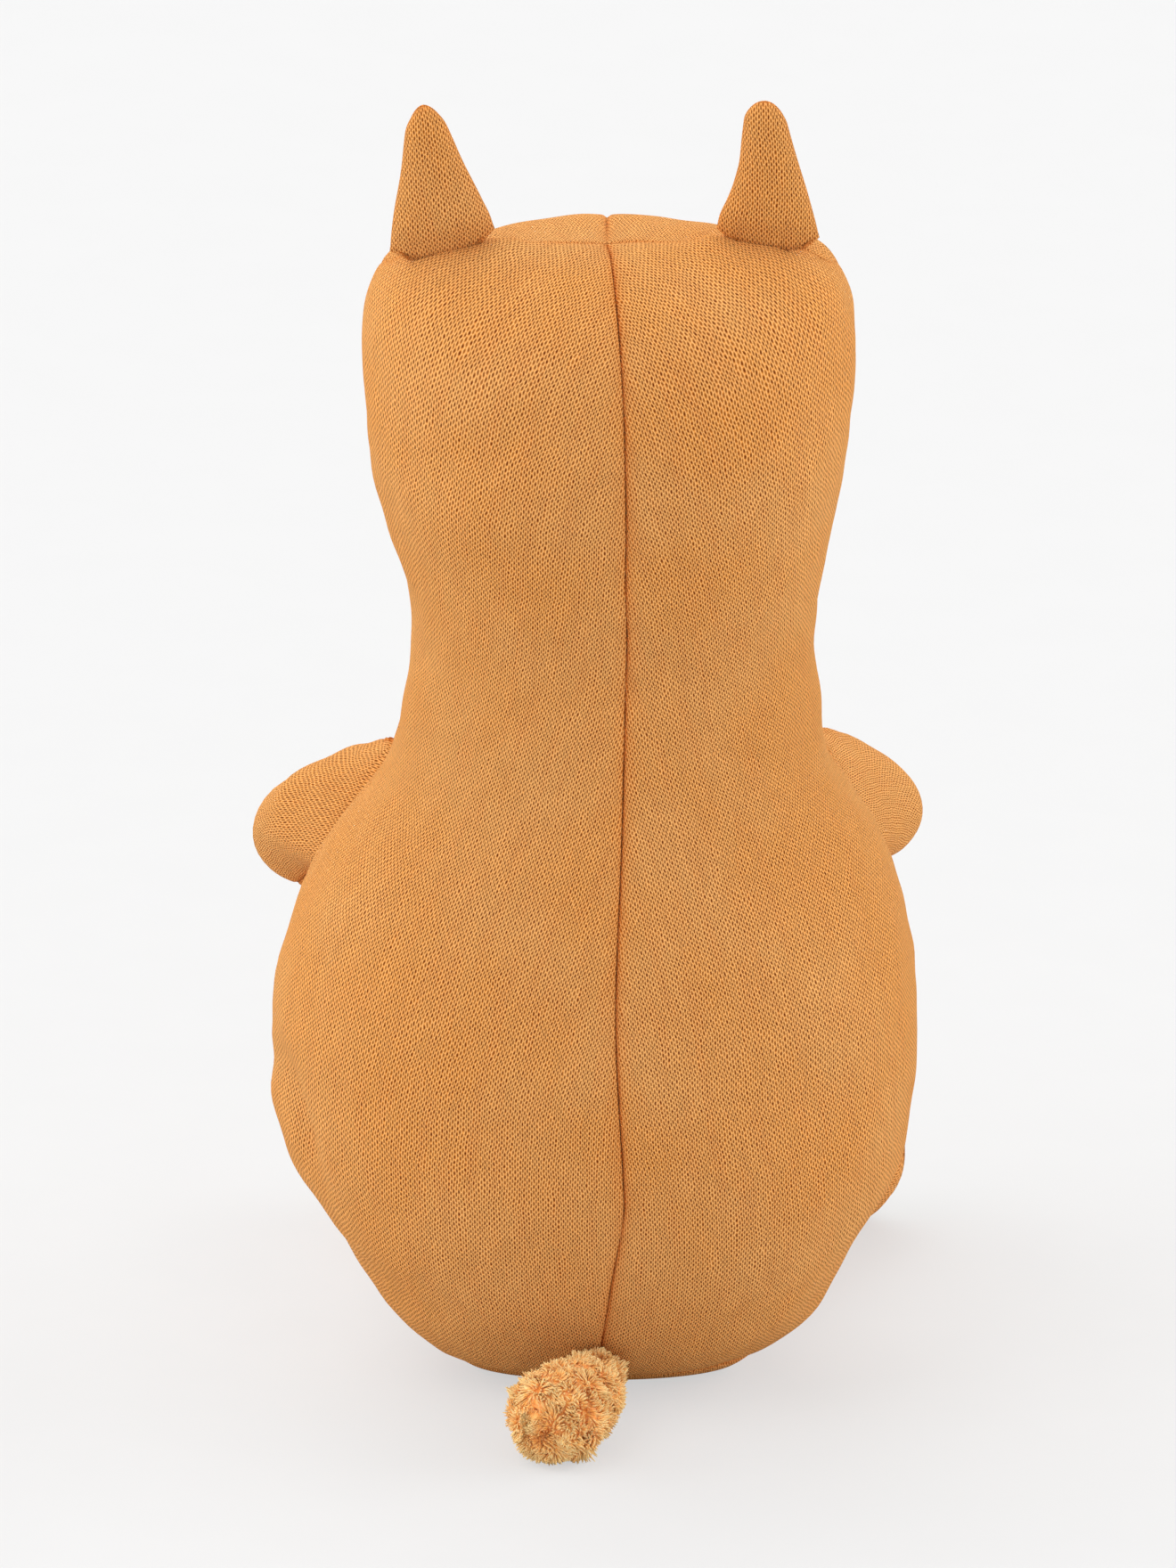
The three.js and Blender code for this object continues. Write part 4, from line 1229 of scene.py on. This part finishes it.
def stitch_tubes(name, paths, radius, node):
    """Raised threads along paths of points, as one piece."""
    points, faces, cloth, start = [], [], [], 0
    for path in paths:
        path = np.array(path)
        heading = np.gradient(path, axis=0)
        heading /= np.linalg.norm(heading, axis=1, keepdims=True)
        turns, circle = circles(heading, (0.0, 1.0, 0.05), 8)
        swell = radius * closing(np.abs(np.linspace(-1, 1, len(path))), 6)[:, None, None] + 0.05
        tube_points, tube_faces = closed_rings(path[:, None] + swell * circle)
        run = np.concatenate([[0], np.cumsum(np.linalg.norm(np.diff(path, axis=0), axis=1))])
        cloth += [np.stack(np.meshgrid(turns, run), -1).reshape(-1, 2), [[0, 0], [0, run[-1]]]]
        points.append(tube_points)
        faces += [tuple(i + start for i in face) for face in tube_faces]
        start += len(tube_points)
    thing = new_thing(name, np.concatenate(points), faces, thread, np.concatenate(cloth))
    belongs(thing, "torso", node)


def face_path(points, raised):
    path = []
    for x, z in points:
        place, normal = on_face(x, z)
        path.append(place + normal * raised)
    return path


NOSE_Z = 266.0
NOSE_HALF = 6.0
MOUTH_STEM = 6.0
MOUTH_ROUND = 5.5
nose_paths = []
for i in range(27):
    x = -8.6 + 17.2 * i / 26
    half = NOSE_HALF * math.sqrt(max(0.02, 1 - (x / 9.0) ** 2))
    line = [(face_x + x, NOSE_Z + half * (2 * k / 12 - 1)) for k in range(13)]
    path = np.array(face_path(line, 0.15))
    path[:, 1] -= 0.9 * np.sqrt(np.maximum(0, 1 - np.linspace(-1, 1, 13) ** 2)) + 0.1 * (i % 2)
    nose_paths.append(path)
stitch_tubes("nose_stitches", nose_paths, 0.48, "nose")

top = NOSE_Z - NOSE_HALF - 0.6
stem = [(face_x, top - MOUTH_STEM * k / 8) for k in range(9)]
mouth_paths = [face_path([(x + d, z) for x, z in stem], 0.35) for d in (-0.35, 0.35)]
for side in (1, -1):
    turn = math.pi + math.radians(140) * np.arange(25) / 24
    for d in (-0.35, 0.35):
        arc_x = face_x + side * (MOUTH_ROUND + (MOUTH_ROUND + d) * np.cos(turn))
        arc_z = top - MOUTH_STEM + (MOUTH_ROUND + d) * np.sin(turn)
        mouth_paths.append(face_path(zip(arc_x, arc_z), 0.35))
stitch_tubes("mouth_stitches", mouth_paths, 0.5, "mouth_stitching")

# Floor, light and camera

BACKDROP = srgb(245, 245, 245)
FLOOR_HALF = 14000
FLOOR_GLOW = 0.62  # how much of the backdrop's white the camera sees in the floor
SKY_LIGHT = 0.69

n = Nodes("pale_floor")
grain = n.noise(40.0, 3.0, n.spot())["Fac"]
tint = n.mix(n.remap(grain, 0.3, 0.7), (0.65, 0.65, 0.65, 1), (0.66, 0.66, 0.66, 1))
floor_material = n.finish(tint, 0.9, Specular_IOR_Level=0.0)
glow = n.add("Emission", {"Color": BACKDROP, "Strength": 1.0}).outputs[0]
seen = n.math("MULTIPLY", n.add("LightPath").outputs["Is Camera Ray"], FLOOR_GLOW)
surface = n.add("MixShader", {0: seen, 1: n.shader.outputs[0], 2: glow}).outputs[0]
n.feed(n.tree.nodes["Material Output"].inputs["Surface"], surface)
floor_corners = [(x * FLOOR_HALF, y * FLOOR_HALF, 0) for x, y in ((-1, -1), (1, -1), (1, 1), (-1, 1))]
new_thing("floor", floor_corners, [(0, 1, 2, 3)], floor_material)

world = bpy.data.worlds.new("studio")
bpy.context.scene.world = world
n = Nodes(world)
sky = n.tree.nodes["Background"]
n.feed(sky.inputs["Color"], (1, 1, 1, 1))
n.feed(sky.inputs["Strength"], SKY_LIGHT)
backdrop = n.add("Background", {"Color": BACKDROP, "Strength": 1.0}).outputs[0]
rays = n.add("LightPath").outputs
shown = n.math("MAXIMUM", rays["Is Camera Ray"], rays["Is Glossy Ray"])
shown = n.math("MAXIMUM", shown, rays["Is Transmission Ray"])
surface = n.add("MixShader", {0: shown, 1: sky.outputs[0], 2: backdrop}).outputs[0]
n.feed(n.tree.nodes["World Output"].inputs["Surface"], surface)


def sun(name, azimuth, elevation, strength, softness):
    """A soft lamp. Azimuth 180 stands behind the toy, on the camera's side."""
    lamp = bpy.data.lights.new(name, "SUN")
    lamp.energy = strength
    lamp.angle = math.radians(softness)
    thing = bpy.data.objects.new(name, lamp)
    bpy.context.scene.collection.objects.link(thing)
    a, e = math.radians(azimuth), math.radians(elevation)
    toward = Vector((math.sin(a) * math.cos(e), -math.cos(a) * math.cos(e), math.sin(e)))
    thing.rotation_euler = toward.to_track_quat("Z", "Y").to_euler()


sun("key", 124, 56, 0.7, 40)
sun("fill", 190, 6, 0.74, 90)
sun("left", 78, 10, 1.95, 60)
sun("right", 282, 10, 2.25, 60)
sun("brow", 15, 50, 1.1, 50)

CAMERA_TARGET = Vector((1.68, 0, 166.7)) * MM
CAMERA_DISTANCE = 12.0
tilt = math.radians(VIEW_TILT)
camera_data = bpy.data.cameras.new("camera")
camera_data.lens = 1022.8
camera_data.sensor_width = 36
camera = bpy.data.objects.new("camera", camera_data)
bpy.context.scene.collection.objects.link(camera)
toward = Vector((0, math.cos(tilt), math.sin(tilt)))
camera.location = CAMERA_TARGET + toward * CAMERA_DISTANCE
camera.rotation_euler = toward.to_track_quat("Z", "Y").to_euler()
bpy.context.scene.camera = camera
bpy.context.scene.view_settings.view_transform = "Standard"
